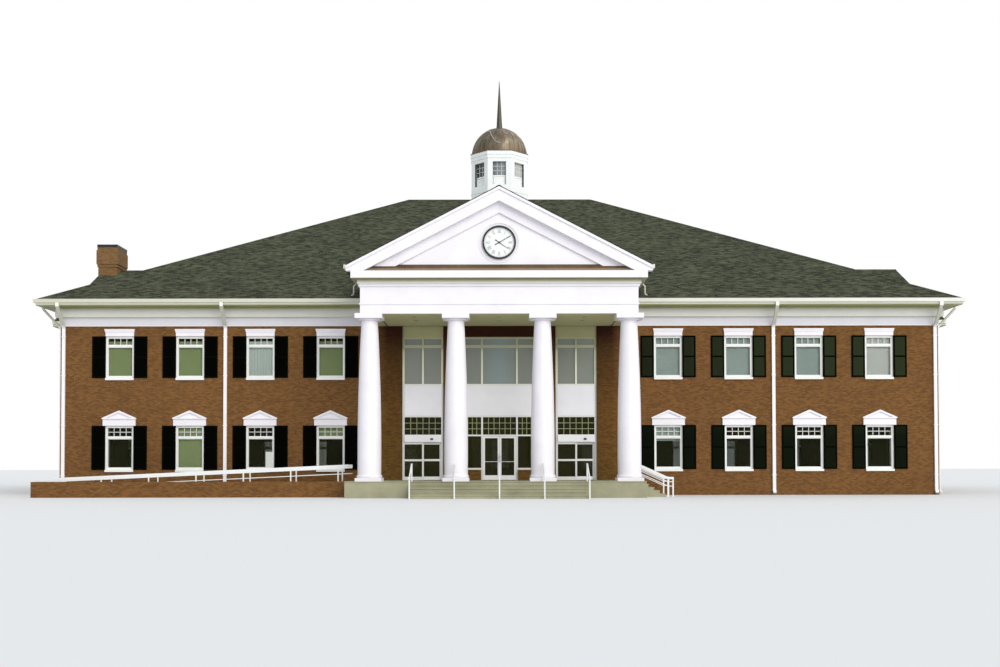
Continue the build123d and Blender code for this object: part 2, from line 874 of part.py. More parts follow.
def side_bay_frame(side):
    """A bay's frame with a fixed lower light, its leaf's track behind, and the operator's case."""
    left, right = sorted((side * side_bay_inner_x, side * side_bay_outer_x))
    middle = (left + right) / 2
    columns = side_columns(side)
    frame = block(left, right, bay_front_y, bay_back_y, floor_level, brick_top)
    frame -= bay_holes(columns, upper_rows + [spandrel_row, head_panel_row])
    frame -= bay_holes([full_width(columns)], [transom_row])
    frame -= bay_holes([columns[1]], [(0, slider_head_height)])
    frame -= bay_holes([columns[0]], fixed_light_rows)
    frame -= block(columns[0][0], right - bay_jamb, bay_front_y + bay_frame_depth / 2, bay_back_y,
                   floor_level, floor_level + slider_head_height)
    operator_top = floor_level + slider_head_height + slider_operator_height
    operator = block(left + bay_jamb, right - bay_jamb, bay_front_y - 20, bay_front_y,
                     floor_level + slider_head_height + 15, operator_top - 15)
    sensor = block(middle + 250, middle + 250 + sensor_size, bay_front_y - 40, bay_front_y - 20,
                   floor_level + slider_head_height + 40, floor_level + slider_head_height + 40 + sensor_size)
    return fuse([frame, operator, sensor])


fixed_light_rows = [(slider_bottom_rail, slider_mid_rail_height),
                    (slider_mid_rail_height + slider_mid_rail, slider_head_height - slider_stile)]


def make_entrance_panels():
    """Flat panels in the frames at the upper floor's edge and over the side bays."""
    middle = (bay_front_y + bay_back_y) / 2
    front = middle - spandrel_thickness / 2
    back = middle + spandrel_thickness / 2
    cells = [(columns, spandrel_row) for columns in centre_columns]
    for side in (-1, 1):
        cells += [(columns, row) for columns in side_columns(side)
                  for row in (spandrel_row, head_panel_row)]
    return apart([block(x[0], x[1], front, back, floor_level + z[0], floor_level + z[1])
                  for x, z in cells])


def make_entrance_glass():
    """A pane in every light of the three bays that doesn't move."""
    front = bay_front_y + bay_frame_depth / 2 - glass_thickness - 8
    back = front + glass_thickness
    cells = [(columns, row) for columns in centre_columns for row in [transom_row] + upper_rows]
    cells += [(columns, sidelight_row) for columns in (centre_columns[0], centre_columns[2])]
    for side in (-1, 1):
        columns = side_columns(side)
        cells += [(x, row) for x in columns for row in upper_rows]
        cells += [(full_width(columns), transom_row)]
        cells += [(columns[0], row) for row in fixed_light_rows]
    return apart([block(x[0], x[1], front, back, floor_level + z[0], floor_level + z[1])
                  for x, z in cells])


def make_entrance_piers():
    """Brick piers between the bays, each with the low brick wall under the sidelight."""
    pier = block(centre_bay_half_width, side_bay_inner_x, front_y, front_y + wall_thickness,
                 floor_level, brick_top)
    bulkhead = block(door_opening_half_width + mullion, centre_bay_half_width, front_y,
                     front_y + wall_thickness, floor_level, floor_level + bulkhead_height)
    return apart(both_sides(fuse([pier, bulkhead])))


def make_entrance_lintel():
    """The brick wall over the bays, deeper over the middle one, up to the roof."""
    y0, y1 = front_y, front_y + wall_thickness
    upper = block(-side_bay_outer_x, side_bay_outer_x, y0, y1, brick_top, high)
    upper = upper & under_roofs(roof_thickness)
    deeper = block(-centre_bay_half_width, centre_bay_half_width, y0, y1,
                   floor_level + centre_bay_height, brick_top)
    return fuse([upper, deeper])


def leaf(width, height, thickness, stile, bottom_rail, mid_bottom, mid_height):
    """A door leaf from the origin along +X: its frame, and the lights left in it."""
    lights = [(stile, width - stile, bottom_rail, mid_bottom),
              (stile, width - stile, mid_bottom + mid_height, height - stile)]
    frame = block(0, width, 0, thickness, 0, height)
    frame -= [block(x0, x1, 0, thickness, z0, z1) for x0, x1, z0, z1 in lights]
    middle = thickness / 2
    panes = [block(x0, x1, middle - glass_thickness / 2, middle + glass_thickness / 2, z0, z1)
             for x0, x1, z0, z1 in lights]
    return frame, panes


def entrance_door(side):
    """One leaf of the pair, with its pull handle, at its closed place."""
    width = door_opening_half_width - door_gap * 1.5
    height = door_head_height - door_gap * 2
    frame, panes = leaf(width, height, door_thickness, door_stile, door_bottom_rail,
                        door_mid_rail_height, door_mid_rail)
    left = door_gap / 2 if side > 0 else door_gap - door_opening_half_width
    pull_x = door_stile / 2 if side > 0 else width - door_stile / 2
    ends = (pull_height, pull_height + pull_length)
    pull = upright(pull_x, -pull_reach, *ends)
    legs = [Pos(pull_x, -pull_reach / 2, z) * Rot(90, 0, 0) * Cylinder(pull_radius, pull_reach)
            for z in (ends[0] + pull_radius * 2, ends[1] - pull_radius * 2)]
    place = Pos(left, bay_front_y, floor_level + door_gap)
    return place * fuse([frame, pull] + legs), [place * pane for pane in panes]


def upright(x, y, z0, z1):
    """The round bar of a pull handle."""
    return Pos(x, y, (z0 + z1) / 2) * Cylinder(pull_radius, z1 - z0)


def sliding_door(side):
    """The right-hand leaf of a side bay, in its track behind the fixed light."""
    columns = side_columns(side)
    left = columns[1][0] - mullion
    width = columns[1][1] - door_gap - left
    height = slider_head_height - door_gap * 2
    frame, panes = leaf(width, height, slider_thickness, slider_stile, slider_bottom_rail,
                        slider_mid_rail_height, slider_mid_rail)
    place = Pos(left, bay_front_y + bay_frame_depth / 2 + slider_clearance, floor_level + door_gap)
    return place * frame, [place * pane for pane in panes]


# Handrails

def bar_between(start, end, radius):
    """A round bar from one point to another."""
    path = Line(start, end)
    return sweep(Plane(path @ 0, z_dir=path % 0) * Circle(radius), path=path)


def handrail(x, risers):
    """A rail down the front steps, on two posts, level at its top end."""
    top_y = podium_front_y + rail_extension
    low_y = podium_front_y - step_going * (risers - 1)
    top_z = floor_level + rail_height
    low_z = step_rise + rail_height
    path = Polyline((x, top_y, top_z), (x, podium_front_y, top_z), (x, low_y, low_z),
                    (x, low_y - rail_extension, low_z))
    rail = sweep(Plane(path @ 0, z_dir=path % 0) * Circle(rail_radius), path=path,
                 transition=Transition.RIGHT)
    posts = [bar_between((x, podium_front_y + rail_extension / 2, floor_level),
                         (x, podium_front_y + rail_extension / 2, top_z), post_radius),
             bar_between((x, low_y - rail_extension / 2, 0), (x, low_y - rail_extension / 2, low_z),
                         post_radius)]
    return fuse([rail] + posts)


def band(points, y, height, thickness):
    """A flat bar that follows (x, z) points along a handrail's line."""
    lower = [(x, z - height) for x, z in reversed(points)]
    return along_y(list(points) + lower, y - thickness / 2, y + thickness / 2)


def railing(ends, xs, foot, top_line, y):
    """A deep band and a thin rail below it from end to end, on posts at each x."""
    top = [(x, top_line(x)) for x in ends]
    lower = [(x, z - lower_rail_drop) for x, z in top]
    pieces = [band(top, y, ramp_band_height, ramp_band_thickness),
              band(lower, y, lower_rail_height, lower_rail_thickness)]
    for x in xs:
        pieces.append(block(x - post_radius, x + post_radius, y - post_radius / 2, y + post_radius / 2,
                            foot(x) - post_radius, top_line(x) - ramp_band_height / 2))
    return fuse(pieces) - make_access_ramp()


def ramp_height(x):
    """The ramp's surface at a distance to the left."""
    share = (x + ramp_end_x) / (ramp_end_x - podium_left)
    return ramp_low_height + share * (floor_level - ramp_low_height)


def make_handrails():
    risers = round(floor_level / step_rise)
    edge = front_steps_half_width - post_radius * 2
    rails = [handrail(x, risers)
             for x in (-edge, -column_spacing / 2, 0, column_spacing / 2, edge)]
    ramp_y = [front_y - side_way_front + ramp_wall_thickness + post_radius * 2,
              front_y - side_way_front + side_way_width + ramp_wall_thickness - post_radius * 2]
    ends = (post_radius * 2 - ramp_end_x, -podium_left - post_radius * 2)
    count = int((ramp_length - ramp_first_post) / ramp_post_spacing) + 1
    xs = [ramp_first_post - ramp_end_x + i * ramp_post_spacing for i in range(count)]
    rails += [railing(ends, xs, ramp_height, lambda x: ramp_height(x) + rail_height, y)
              for y in ramp_y]
    side_length = side_step_going * (risers - 1)
    side_y = [front_y - side_way_front + post_radius * 2,
              front_y - side_way_front + side_way_width - post_radius * 2]
    side_xs = [podium_right - rail_extension / 2, podium_right + side_length + rail_extension / 2]
    rails += [side_rail(side_xs, y) for y in side_y]
    return apart(rails)


def side_rail(xs, y):
    """The rail of the side flight: down with the steps, then a short level end."""
    top = [(xs[0], floor_level + rail_height), (xs[1], step_rise + rail_height),
           (xs[1] + rail_extension, step_rise + rail_height)]
    pieces = [band(top, y, side_band_height, ramp_band_thickness)]
    for drop in (lower_rail_drop / 2, lower_rail_drop):
        pieces.append(band([(x, z - drop) for x, z in top], y, lower_rail_height, lower_rail_thickness))
    for x, foot in ((xs[0], floor_level), (xs[1], 0), (xs[1] + rail_extension - post_radius, 0)):
        top_z = top[0][1] if foot else top[1][1]
        pieces.append(block(x - post_radius, x + post_radius, y - post_radius / 2, y + post_radius / 2,
                            foot, top_z - side_band_height / 2))
    return fuse(pieces)


# Clock

def facing_front(z, y):
    """A place whose own +Z looks out of the front."""
    return Plane(origin=(0, y, z), x_dir=(1, 0, 0), z_dir=(0, -1, 0)).location


def disc(radius, start, thickness):
    """A disc on the clock's axis, its back a given distance in front of the tympanum."""
    return facing_front(clock_height, beam_front_y) * Pos(0, 0, start + thickness / 2) * Cylinder(
        radius, thickness)


def make_clock_case():
    """A dish with a rim, and the arbor that the hands turn on."""
    radius = clock_diameter / 2
    case = disc(radius, 0, clock_depth) - disc(radius - clock_rim, clock_back, clock_depth)
    arbor = disc(arbor_diameter / 2, clock_back, clock_depth - clock_back - 5)
    return fuse([case, arbor])


def make_clock_dial():
    return disc(clock_diameter / 2 - clock_rim, clock_back, dial_thickness) - disc(
        arbor_diameter / 2, clock_back, dial_thickness)


def hand(length, angle, layer):
    """A tapered hand with a round tail, turned clockwise from twelve o'clock."""
    start = clock_back + dial_thickness + hand_gap + layer * (hand_thickness + hand_gap)
    blade = make_face(Polyline((-hand_width / 2, 0), (-hand_width / 4, length), (hand_width / 4, length),
                               (hand_width / 2, 0), (hand_width / 2, -hand_tail),
                               (-hand_width / 2, -hand_tail), close=True))
    flat = blade + Circle(hand_width * 1.4) + Pos(0, -hand_tail) * Circle(hand_width)
    flat -= Circle(arbor_diameter / 2 + arbor_clearance)
    turned = extrude(Rot(0, 0, -angle) * flat, amount=hand_thickness)
    return facing_front(clock_height, beam_front_y) * Pos(0, 0, start) * turned


# Cupola and chimney

def octagon(across, z0, z1):
    """An eight-sided prism with a flat to the front."""
    outline = RegularPolygon(across / 2, 8, major_radius=False, rotation=22.5)
    return Pos(0, 0, z0) * extrude(outline, amount=z1 - z0)


def cupola_faces(piece):
    """A piece made at the front face, repeated round the eight faces."""
    return [Rot(0, 0, 45 * i) * piece for i in range(8)]


def make_cupola_drum():
    """Eight hollow faces, each with a niche that holds a window over a panel."""
    face_y = -cupola_width / 2
    half = cupola_niche_width / 2
    drum = octagon(cupola_width, cupola_base_bottom - 700, cupola_top)
    drum = fuse([drum, octagon(cupola_width + cupola_base_projection * 2, cupola_base_bottom,
                               cupola_base_bottom + cupola_base_height),
                 octagon(cupola_width + cupola_cornice_projection, cupola_cornice_bottom, cupola_top),
                 octagon(cupola_width + cupola_cornice_projection * 2,
                         (cupola_cornice_bottom + cupola_top) / 2, cupola_top)])
    drum -= octagon(cupola_width - cupola_wall * 2, 0, cupola_top)
    niche = block(-half, half, face_y - 1, face_y + cupola_niche_recess, cupola_niche_bottom,
                  cupola_niche_top)
    light = block(-half + cupola_frame, half - cupola_frame, face_y - 1, face_y + cupola_wall + 1,
                  cupola_window_bottom + cupola_frame, cupola_niche_top - cupola_frame)
    drum -= cupola_faces(niche) + cupola_faces(light)
    return largest(drum - under_hip())


def cupola_panes():
    face_y = -cupola_width / 2 + cupola_niche_recess + 10
    half = cupola_niche_width / 2 - cupola_frame
    return cupola_faces(block(-half, half, face_y, face_y + glass_thickness,
                              cupola_window_bottom + cupola_frame, cupola_niche_top - cupola_frame))


def make_dome():
    """A copper shell on an eight-sided flange, with standing seams up its curve."""
    across = cupola_width + (cupola_cornice_projection + dome_flange) * 2
    flange = octagon(across, cupola_top, dome_base) - Pos(0, 0, cupola_top) * Cylinder(
        dome_radius - dome_thickness, dome_flange_thickness * 3)
    crown = spire_base_diameter / 2
    shell = dome_shell(dome_radius, dome_height, crown) - dome_core()
    seam_shell = dome_shell(dome_radius + dome_seam_height, dome_height, crown)
    blade = block(-dome_seam_width / 2, dome_seam_width / 2, -dome_radius * 2, 0, dome_base, high)
    seams = [(Rot(0, 0, 360 / dome_seams * i) * blade) & seam_shell for i in range(dome_seams)]
    return fuse([flange, shell] + [seam - dome_core() for seam in seams])


def dome_shell(radius, height, crown):
    """A solid dome with a flat crown of its own radius."""
    mid = (radius * math.cos(math.pi / 4), dome_base + height * math.sin(math.pi / 4))
    curve = ThreePointArc((radius, dome_base), mid, (crown, dome_base + height))
    outline = Curve() + [Line((0, dome_base), curve @ 0), curve, Line(curve @ 1, (0, dome_base + height)),
                         Line((0, dome_base + height), (0, dome_base))]
    return revolve(make_face(Plane.XZ * outline), Axis.Z)


def dome_core():
    """The hollow inside the dome."""
    return dome_shell(dome_radius - dome_thickness, dome_height - dome_thickness,
                      spire_base_diameter / 2)


def make_spire():
    """A slender cone on a small collar."""
    base = dome_base + dome_height
    cone = Pos(0, 0, base + spire_height / 2) * Cone(spire_base_diameter / 2, spire_tip_diameter / 2,
                                                     spire_height)
    return fuse([cone, Pos(0, 0, base + spire_collar / 2) * Cylinder(spire_base_diameter / 2 + 12,
                                                                     spire_collar)])


def make_chimney_stack():
    """A plain shaft from the ground, with a head that steps out and in again."""
    x0 = -chimney_outer_x
    x1 = x0 + chimney_width
    half = chimney_depth / 2
    pieces = [block(x0, x1, -half, half, 0, chimney_shaft_top + chimney_head_height)]
    for out, z0, z1 in ((chimney_corbel / 2, 0, chimney_head_height),
                        (chimney_corbel, chimney_corbel_step, chimney_head_height - chimney_corbel_step)):
        pieces.append(block(x0 - out, x1 + out, -half - out, half + out,
                            chimney_shaft_top + z0, chimney_shaft_top + z1))
    return fuse(pieces)


def make_chimney_cap():
    top = chimney_shaft_top + chimney_head_height
    out = chimney_cap_overhang
    x0 = -chimney_outer_x
    return block(x0 - out, x0 + chimney_width + out, -chimney_depth / 2 - out,
                 chimney_depth / 2 + out, top, top + chimney_cap_height)


# Every sub-part, under the name of its node

def all_parts():
    front_wall = make_front_wall_right()
    side_walls = make_right_side_walls()
    end_wall = make_right_wing_end_wall()
    left_leaf, left_leaf_panes = entrance_door(-1)
    right_leaf, right_leaf_panes = entrance_door(1)
    left_slider, left_slider_panes = sliding_door(-1)
    right_slider, right_slider_panes = sliding_door(1)
    parts = {
        "ground_floor": make_ground_floor(),
        "upper_floor": make_upper_floor(),
        "front_wall_left": front_wall.mirror(Plane.YZ),
        "front_wall_right": front_wall,
        "rear_wall": make_rear_wall(),
        "left_side_walls": apart([side_walls.mirror(Plane.YZ)]),
        "right_side_walls": side_walls,
        "wing_side_walls": make_wing_side_walls(),
        "left_wing_end_wall": apart([end_wall.mirror(Plane.YZ) - chimney_space()]),
        "right_wing_end_wall": end_wall,
        "entrance_piers": make_entrance_piers(),
        "entrance_lintel": make_entrance_lintel(),
        "centre_bay_frame": make_centre_bay_frame(),
        "side_bay_frames": apart([side_bay_frame(-1), side_bay_frame(1)]),
        "entrance_panels": make_entrance_panels(),
        "entrance_glass": make_entrance_glass(),
        "entrance_door_left": left_leaf,
        "entrance_door_left_glass": apart(left_leaf_panes),
        "entrance_door_right": right_leaf,
        "entrance_door_right_glass": apart(right_leaf_panes),
        "sliding_door_left": left_slider,
        "sliding_door_left_glass": apart(left_slider_panes),
        "sliding_door_right": right_slider,
        "sliding_door_right_glass": apart(right_slider_panes),
        "window_frames": apart(repeat(window_frame, *storeys)),
        "window_glass": apart(repeat(window_pane, *storeys) + cupola_panes()),
        "window_pediments": apart(repeat(window_pediment, ground_windows)),
        "window_crowns": apart(repeat(window_crown, upper_windows)),
        "shutters": apart(repeat(shutters, *storeys)),
        "eaves_cornice": make_eaves_cornice(),
        "gutters": make_gutters(),
        "downspouts": make_downspouts(),
        "main_roof": make_main_roof(),
        "wing_roofs": make_wing_roofs(),
        "wing_rakes": make_wing_rakes(),
        "portico_roof": make_portico_roof(),
        "portico_podium": make_podium(),
        "entrance_steps": make_entrance_steps(),
        "access_ramp": make_access_ramp(),
        "ramp_wall": make_ramp_wall(),
        "handrails": make_handrails(),
        "columns": make_columns(),
        "portico_entablature": make_portico_entablature(),
        "portico_ceiling": make_portico_ceiling(),
        "pediment_cornice": make_pediment_cornice(),
        "cornice_apron": make_cornice_apron(),
        "tympanum": make_tympanum(),
        "clock_case": make_clock_case(),
        "clock_dial": make_clock_dial(),
        "minute_hand": hand(minute_hand_length, minute_hand_angle, 1),
        "hour_hand": hand(hour_hand_length, hour_hand_angle, 0),
        "cupola_drum": make_cupola_drum(),
        "dome": make_dome(),
        "spire": make_spire(),
        "chimney_stack": make_chimney_stack(),
        "chimney_cap": make_chimney_cap(),
    }
    return parts


os.makedirs("parts", exist_ok=True)
for name, shape in all_parts().items():
    export_step(shape, f"parts/{name}.step")
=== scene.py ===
"""The looks of the brick town hall, at half its real size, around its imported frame. Metres."""
import json
import math
import random

import bmesh
import bpy
from mathutils import Matrix, Vector
from mathutils.bvhtree import BVHTree


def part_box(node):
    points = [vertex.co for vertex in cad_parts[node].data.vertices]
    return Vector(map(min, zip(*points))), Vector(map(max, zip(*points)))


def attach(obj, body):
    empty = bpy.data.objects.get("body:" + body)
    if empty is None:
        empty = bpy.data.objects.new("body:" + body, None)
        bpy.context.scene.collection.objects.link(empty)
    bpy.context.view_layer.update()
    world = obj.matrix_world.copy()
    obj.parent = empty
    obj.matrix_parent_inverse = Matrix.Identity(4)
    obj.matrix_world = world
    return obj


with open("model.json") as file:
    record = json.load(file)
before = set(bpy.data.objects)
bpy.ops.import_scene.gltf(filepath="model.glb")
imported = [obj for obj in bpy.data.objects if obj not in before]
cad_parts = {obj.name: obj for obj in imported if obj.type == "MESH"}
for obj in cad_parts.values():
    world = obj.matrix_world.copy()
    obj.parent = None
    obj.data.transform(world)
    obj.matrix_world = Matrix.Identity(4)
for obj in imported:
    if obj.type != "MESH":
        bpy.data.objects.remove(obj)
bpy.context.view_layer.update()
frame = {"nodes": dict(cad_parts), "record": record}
scene = bpy.context.scene
scene.view_settings.view_transform = "Standard"
nodes = frame["nodes"]
HOUSE = "building"
HINGED_DOORS = ("entrance_door_left", "entrance_door_right")
DOORS = HINGED_DOORS + ("sliding_door_left", "sliding_door_right")

# Sizes that the solids' boxes don't give
ROOF_SLOPE = 0.518
STOREY_LINE = 2.6
GROUND_SILLS_BELOW = 2.0
WINDOW_BAR = 0.06
TRANSOM_BAR = 0.08
WINDOW_RECESS = 0.03
BAR_DEPTH = 0.04
SILL_PROJECTION = 0.045
SILL_HEIGHT = 0.06
GROUND_TRANSOM_DROP = 0.295
UPPER_TRANSOM_DROP = 0.23
MUNTIN = 0.008
SASH = 0.008
SHUTTER_THICKNESS = 0.025
SHUTTER_STILE = 0.045
SHUTTER_POCKET = 0.01
LOUVRE_PITCH = 0.023
BRICK_LENGTH = 0.1016
BRICK_COURSE = 0.0339
MORTAR = 0.0048
SHINGLE_LENGTH = 0.15
SHINGLE_EXPOSURE = 0.0715
SHINGLE_BUTT = 0.006
PLINTH_HALF = 0.35
BEAM_HALF = 0.225
SIDE_BAYS_FROM = 1.2
HEADS_ABOVE = 4.0
SHEET = 0.003
TRANSOM_LIGHT_FOOT = (1.65, 1.8)


# Meshes gathered from simple solids

def turned(angle, out):
    """A place that far out from the building's middle, turned about it from the front."""
    return Matrix.Rotation(angle, 4, "Z") @ Matrix.Translation((0, -out, 0))


class Shape:
    """Vertices and faces of one piece. Its place moves what is added after it is set."""

    def __init__(self):
        self.vertices = []
        self.faces = []
        self.place = Matrix.Identity(4)

    def loops(self, rings, closed=True, cap=True):
        """A skin over rings of points that have equal counts, with flat caps at its ends."""
        count = len(rings[0])
        first = len(self.vertices)
        for points in rings:
            self.vertices += [self.place @ Vector(point) for point in points]
        for i in range(len(rings) - 1):
            for j in range(count if closed else count - 1):
                a = first + i * count + j
                b = first + i * count + (j + 1) % count
                self.faces.append((a, b, b + count, a + count))
        if cap:
            self.faces.append(tuple(reversed(range(first, first + count))))
            last = first + (len(rings) - 1) * count
            self.faces.append(tuple(range(last, last + count)))

    def box(self, low, high):
        (x0, y0, z0), (x1, y1, z1) = low, high
        self.loops([[(x0, y0, z), (x1, y0, z), (x1, y1, z), (x0, y1, z)] for z in (z0, z1)])

    def border(self, low, high, width):
        """Four strips round the inside of an upright rectangle."""
        (x0, y0, z0), (x1, y1, z1) = low, high
        self.box(low, (x1, y1, z0 + width))
        self.box((x0, y0, z1 - width), high)
        self.box((x0, y0, z0 + width), (x0 + width, y1, z1 - width))
        self.box((x1 - width, y0, z0 + width), (x1, y1, z1 - width))

    def grid(self, low, high, columns, rows, half):
        """Bars that divide an upright rectangle into panes."""
        (x0, y0, z0), (x1, y1, z1) = low, high
        for i in range(1, columns):
            x = x0 + (x1 - x0) * i / columns
            self.box((x - half, y0, z0), (x + half, y1, z1))
        for i in range(1, rows):
            z = z0 + (z1 - z0) * i / rows
            self.box((x0, y0, z - half), (x1, y1, z + half))

    def quad(self, *points):
        first = len(self.vertices)
        self.vertices += [self.place @ Vector(point) for point in points]
        self.faces.append(tuple(range(first, first + len(points))))

    def tube(self, points, radius, sides=10):
        """A round bar that follows points, mitred at its corners."""
        points = [Vector(p) for p in points]
        rings = []
        for i, point in enumerate(points):
            before = (point - points[i - 1]).normalized() if i else None
            after = (points[i + 1] - point).normalized() if i + 1 < len(points) else None
            along = ((before or after) + (after or before)).normalized()
            side = along.cross(Vector((0, 0, 1)))
            side = side.normalized() if side.length > 0.1 else Vector((1, 0, 0))
            up = side.cross(along).normalized()
            stretch = 1 / max(along.dot(after or before), 0.5)
            rings.append([point + side * radius * math.cos(t) + up * radius * stretch * math.sin(t)
                          for t in [math.tau * k / sides for k in range(sides)]])
        self.loops(rings)

    def object(self, name):
        mesh = bpy.data.meshes.new(name)
        mesh.from_pydata(self.vertices, [], self.faces)
        made = bmesh.new()
        made.from_mesh(mesh)
        bmesh.ops.recalc_face_normals(made, faces=made.faces)
        made.to_mesh(mesh)
        made.free()
        made_object = bpy.data.objects.new(name, mesh)
        scene.collection.objects.link(made_object)
        return made_object


def piece(name, shape, material, body=HOUSE, bevel=0.0):
    """A finished piece of the building, riding on a body."""
    made = shape.object(name)
    made.data.materials.append(material)
    if bevel:
        edge = made.modifiers.new("bevel", "BEVEL")
        edge.width = bevel
        edge.segments = 2
        edge.limit_method = "ANGLE"
    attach(made, body)


def solids_of(node):
    """The box of each separate solid in a CAD node: (lowest corner, highest corner)."""
    made = bmesh.new()
    made.from_mesh(nodes[node].data)
    bmesh.ops.remove_doubles(made, verts=made.verts, dist=0.00002)
    seen = set()
    boxes = []
    for start in made.verts:
        if start.index in seen:
            continue
        seen.add(start.index)
        queue = [start]
        corners = []
        while queue:
            vertex = queue.pop()
            corners.append(vertex.co.copy())
            for edge in vertex.link_edges:
                other = edge.other_vert(vertex)
                if other.index not in seen:
                    seen.add(other.index)
                    queue.append(other)
        boxes.append(tuple(Vector([end(axis) for axis in zip(*corners)]) for end in (min, max)))
    made.free()
    return boxes


class Facade:
    """A solid on an outer wall, as someone who faces that wall sees it.

    It stands proud of the wall by its depth, or by what is given, and is wide unless called deep.
    """

    def __init__(self, low, high, proud=None, deep=False):
        size = high - low
        self.middle = (low + high) / 2
        on_long_side = (size.x > size.y) != deep
        inward = 1 if on_long_side else 0
        near = self.middle[inward] < 0
        if on_long_side:
            self.angle = 0 if near else math.pi
        else:
            self.angle = -math.pi / 2 if near else math.pi / 2
        if proud is None:
            proud = size[inward]
        origin = Vector((self.middle.x, self.middle.y, 0))
        origin[inward] = low[inward] + proud if near else high[inward] - proud
        self.place = Matrix.Translation(origin) @ Matrix.Rotation(self.angle, 4, "Z")
        self.half = size[1 - inward] / 2
        self.bottom = low.z
        self.top = high.z
        self.on_ground_floor = low.z < GROUND_SILLS_BELOW


# Materials

def grey(value):
    return (value, value, value)


def scaled(color, factor):
    return tuple(c * factor for c in color)


class Nodes:
    """A tree of shader nodes."""

    def __init__(self, owner):
        owner.use_nodes = True
        self.tree = owner.node_tree

    def put(self, node, inputs):
        """Each input takes either another node's output or a plain value."""
        for key, value in inputs.items():
            if isinstance(value, bpy.types.NodeSocket):
                self.tree.links.new(value, node.inputs[key])
            else:
                node.inputs[key].default_value = value

    def add(self, kind, inputs, **settings):
        made = self.tree.nodes.new("ShaderNode" + kind)
        for key, value in settings.items():
            setattr(made, key, value)
        self.put(made, inputs)
        return made

    def math(self, operation, *values):
        return self.add("Math", dict(enumerate(values)), operation=operation).outputs[0]


class Paint(Nodes):
    """A material under construction."""

    def __init__(self, name, roughness=0.6, metallic=0.0, specular=0.5):
        self.material = bpy.data.materials.new(name)
        super().__init__(self.material)
        self.shader = self.tree.nodes["Principled BSDF"]
        self.put(self.shader, {"Roughness": roughness, "Metallic": metallic,
                               "Specular IOR Level": specular})

    def place(self):
        """The place of a point on the piece, in metres."""
        return self.add("TexCoord", {}).outputs["Object"]

    def axes(self, vector=None):
        """The X, Y and Z of a vector, or of the place on the piece."""
        return self.add("SeparateXYZ", {0: vector or self.place()}).outputs

    def share(self, value, start, end, first=0.0, last=1.0):
        """How far a value is on its way from start to end, as a number from first to last."""
        return self.add("MapRange", {
            "Value": value, "From Min": start, "From Max": end, "To Min": first, "To Max": last,
        }).outputs["Result"]

    def noise(self, scale, detail=4.0, roughness=0.55, vector=None):
        return self.add("TexNoise", {"Vector": vector or self.place(), "Scale": scale,
                                     "Detail": detail, "Roughness": roughness}).outputs["Fac"]

    def ramp(self, factor, *stops):
        """A colour for each (position, colour) stop."""
        made = self.add("ValToRGB", {"Fac": factor})
        elements = made.color_ramp.elements
        while len(elements) < len(stops):
            elements.new(0.5)
        for element, (position, color) in zip(elements, stops):
            element.position = position
            element.color = (*color, 1.0)
        return made.outputs["Color"]

    def mix(self, factor, a, b, blend="MIX"):
        a, b = (tone if isinstance(tone, bpy.types.NodeSocket) else (*tone, 1.0) for tone in (a, b))
        return self.add("Mix", {"Factor": factor, "A": a, "B": b}, data_type="RGBA",
                        blend_type=blend).outputs["Result"]

    def weather(self, color, factor, *stops):
        """A colour multiplied by the tones of a ramp."""
        return self.mix(1.0, color, self.ramp(factor, *stops), "MULTIPLY")

    def bump(self, height, distance, strength=1.0):
        made = self.add("Bump", {"Height": height, "Distance": distance, "Strength": strength})
        self.put(self.shader, {"Normal": made.outputs["Normal"]})

    def color(self, value):
        self.put(self.shader, {"Base Color": value})

    def choose(self, choice, a, b):
        """The first value where choice is one, the second where it is nothing."""
        rest = self.math("SUBTRACT", 1.0, choice)
        return self.math("ADD", self.math("MULTIPLY", a, choice), self.math("MULTIPLY", b, rest))

    def plane(self, roof=False):
        """Metres along a wall and up it, or along a slope's eaves and up in height."""
        place = self.axes()
        normal = self.axes(self.add("NewGeometry", {}).outputs["Normal"])
        across = self.math("ABSOLUTE", normal["X"])
        level = 0.7
        if roof:
            sideways = self.math("GREATER_THAN", across, self.math("ABSOLUTE", normal["Y"]))
            up = place["Z"]
        else:
            sideways = self.math("GREATER_THAN", across, level)
            upward = self.math("GREATER_THAN", self.math("ABSOLUTE", normal["Z"]), level)
            up = self.choose(upward, place["Y"], place["Z"])
        along = self.choose(sideways, place["Y"], place["X"])
        return self.add("CombineXYZ", {"X": along, "Y": up}).outputs[0]

    def bricks(self, vector, length, course, gap, dark, light, mortar):
        """Rows of bricks at their real size, as a texture node."""
        return self.add("TexBrick", {
            "Vector": vector, "Scale": 1.0, "Mortar Size": gap / 2, "Mortar Smooth": 0.2,
            "Brick Width": length, "Row Height": course, "Color1": (*dark, 1), "Color2": (*light, 1),
            "Mortar": (*mortar, 1)})


def brick_material(name, dark, light, mortar, painted_porch_shade=None):
    """Fired brick in mortar, each brick a little different, with broad weathering.

    Painted porch shade gives the brick inside the portico its tones, darkening it from the ground up to
    its ceiling.
    """
    paint = Paint(name, roughness=0.88, specular=0.25)
    made = paint.bricks(paint.plane(), BRICK_LENGTH, BRICK_COURSE, MORTAR, dark, light, mortar)
    color = paint.weather(made.outputs["Color"], paint.noise(0.4, 3.0, 0.5),
                          (0.35, grey(0.93)), (0.68, (1.05, 1.05, 1.04)))
    # Painted shade inside the portico, darker towards its ceiling.
    if painted_porch_shade:
        low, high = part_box("portico_ceiling")
        edge = 0.35
        place = paint.axes()
        inside = paint.share(paint.math("ABSOLUTE", place["X"]), high.x + edge, high.x)
        height = paint.math("DIVIDE", place["Z"], low.z)
        color = paint.mix(inside, color, paint.weather(color, height, *painted_porch_shade))
    paint.color(paint.weather(color, paint.noise(26.0, 3.0, 0.7),
                              (0.3, grey(0.93)), (0.7, (1.08, 1.07, 1.06))))
    grain = paint.math("MULTIPLY", paint.noise(220.0, 2.0), 0.18)
    paint.bump(paint.math("SUBTRACT", grain, made.outputs["Fac"]), 0.004, 0.9)
    return paint.material


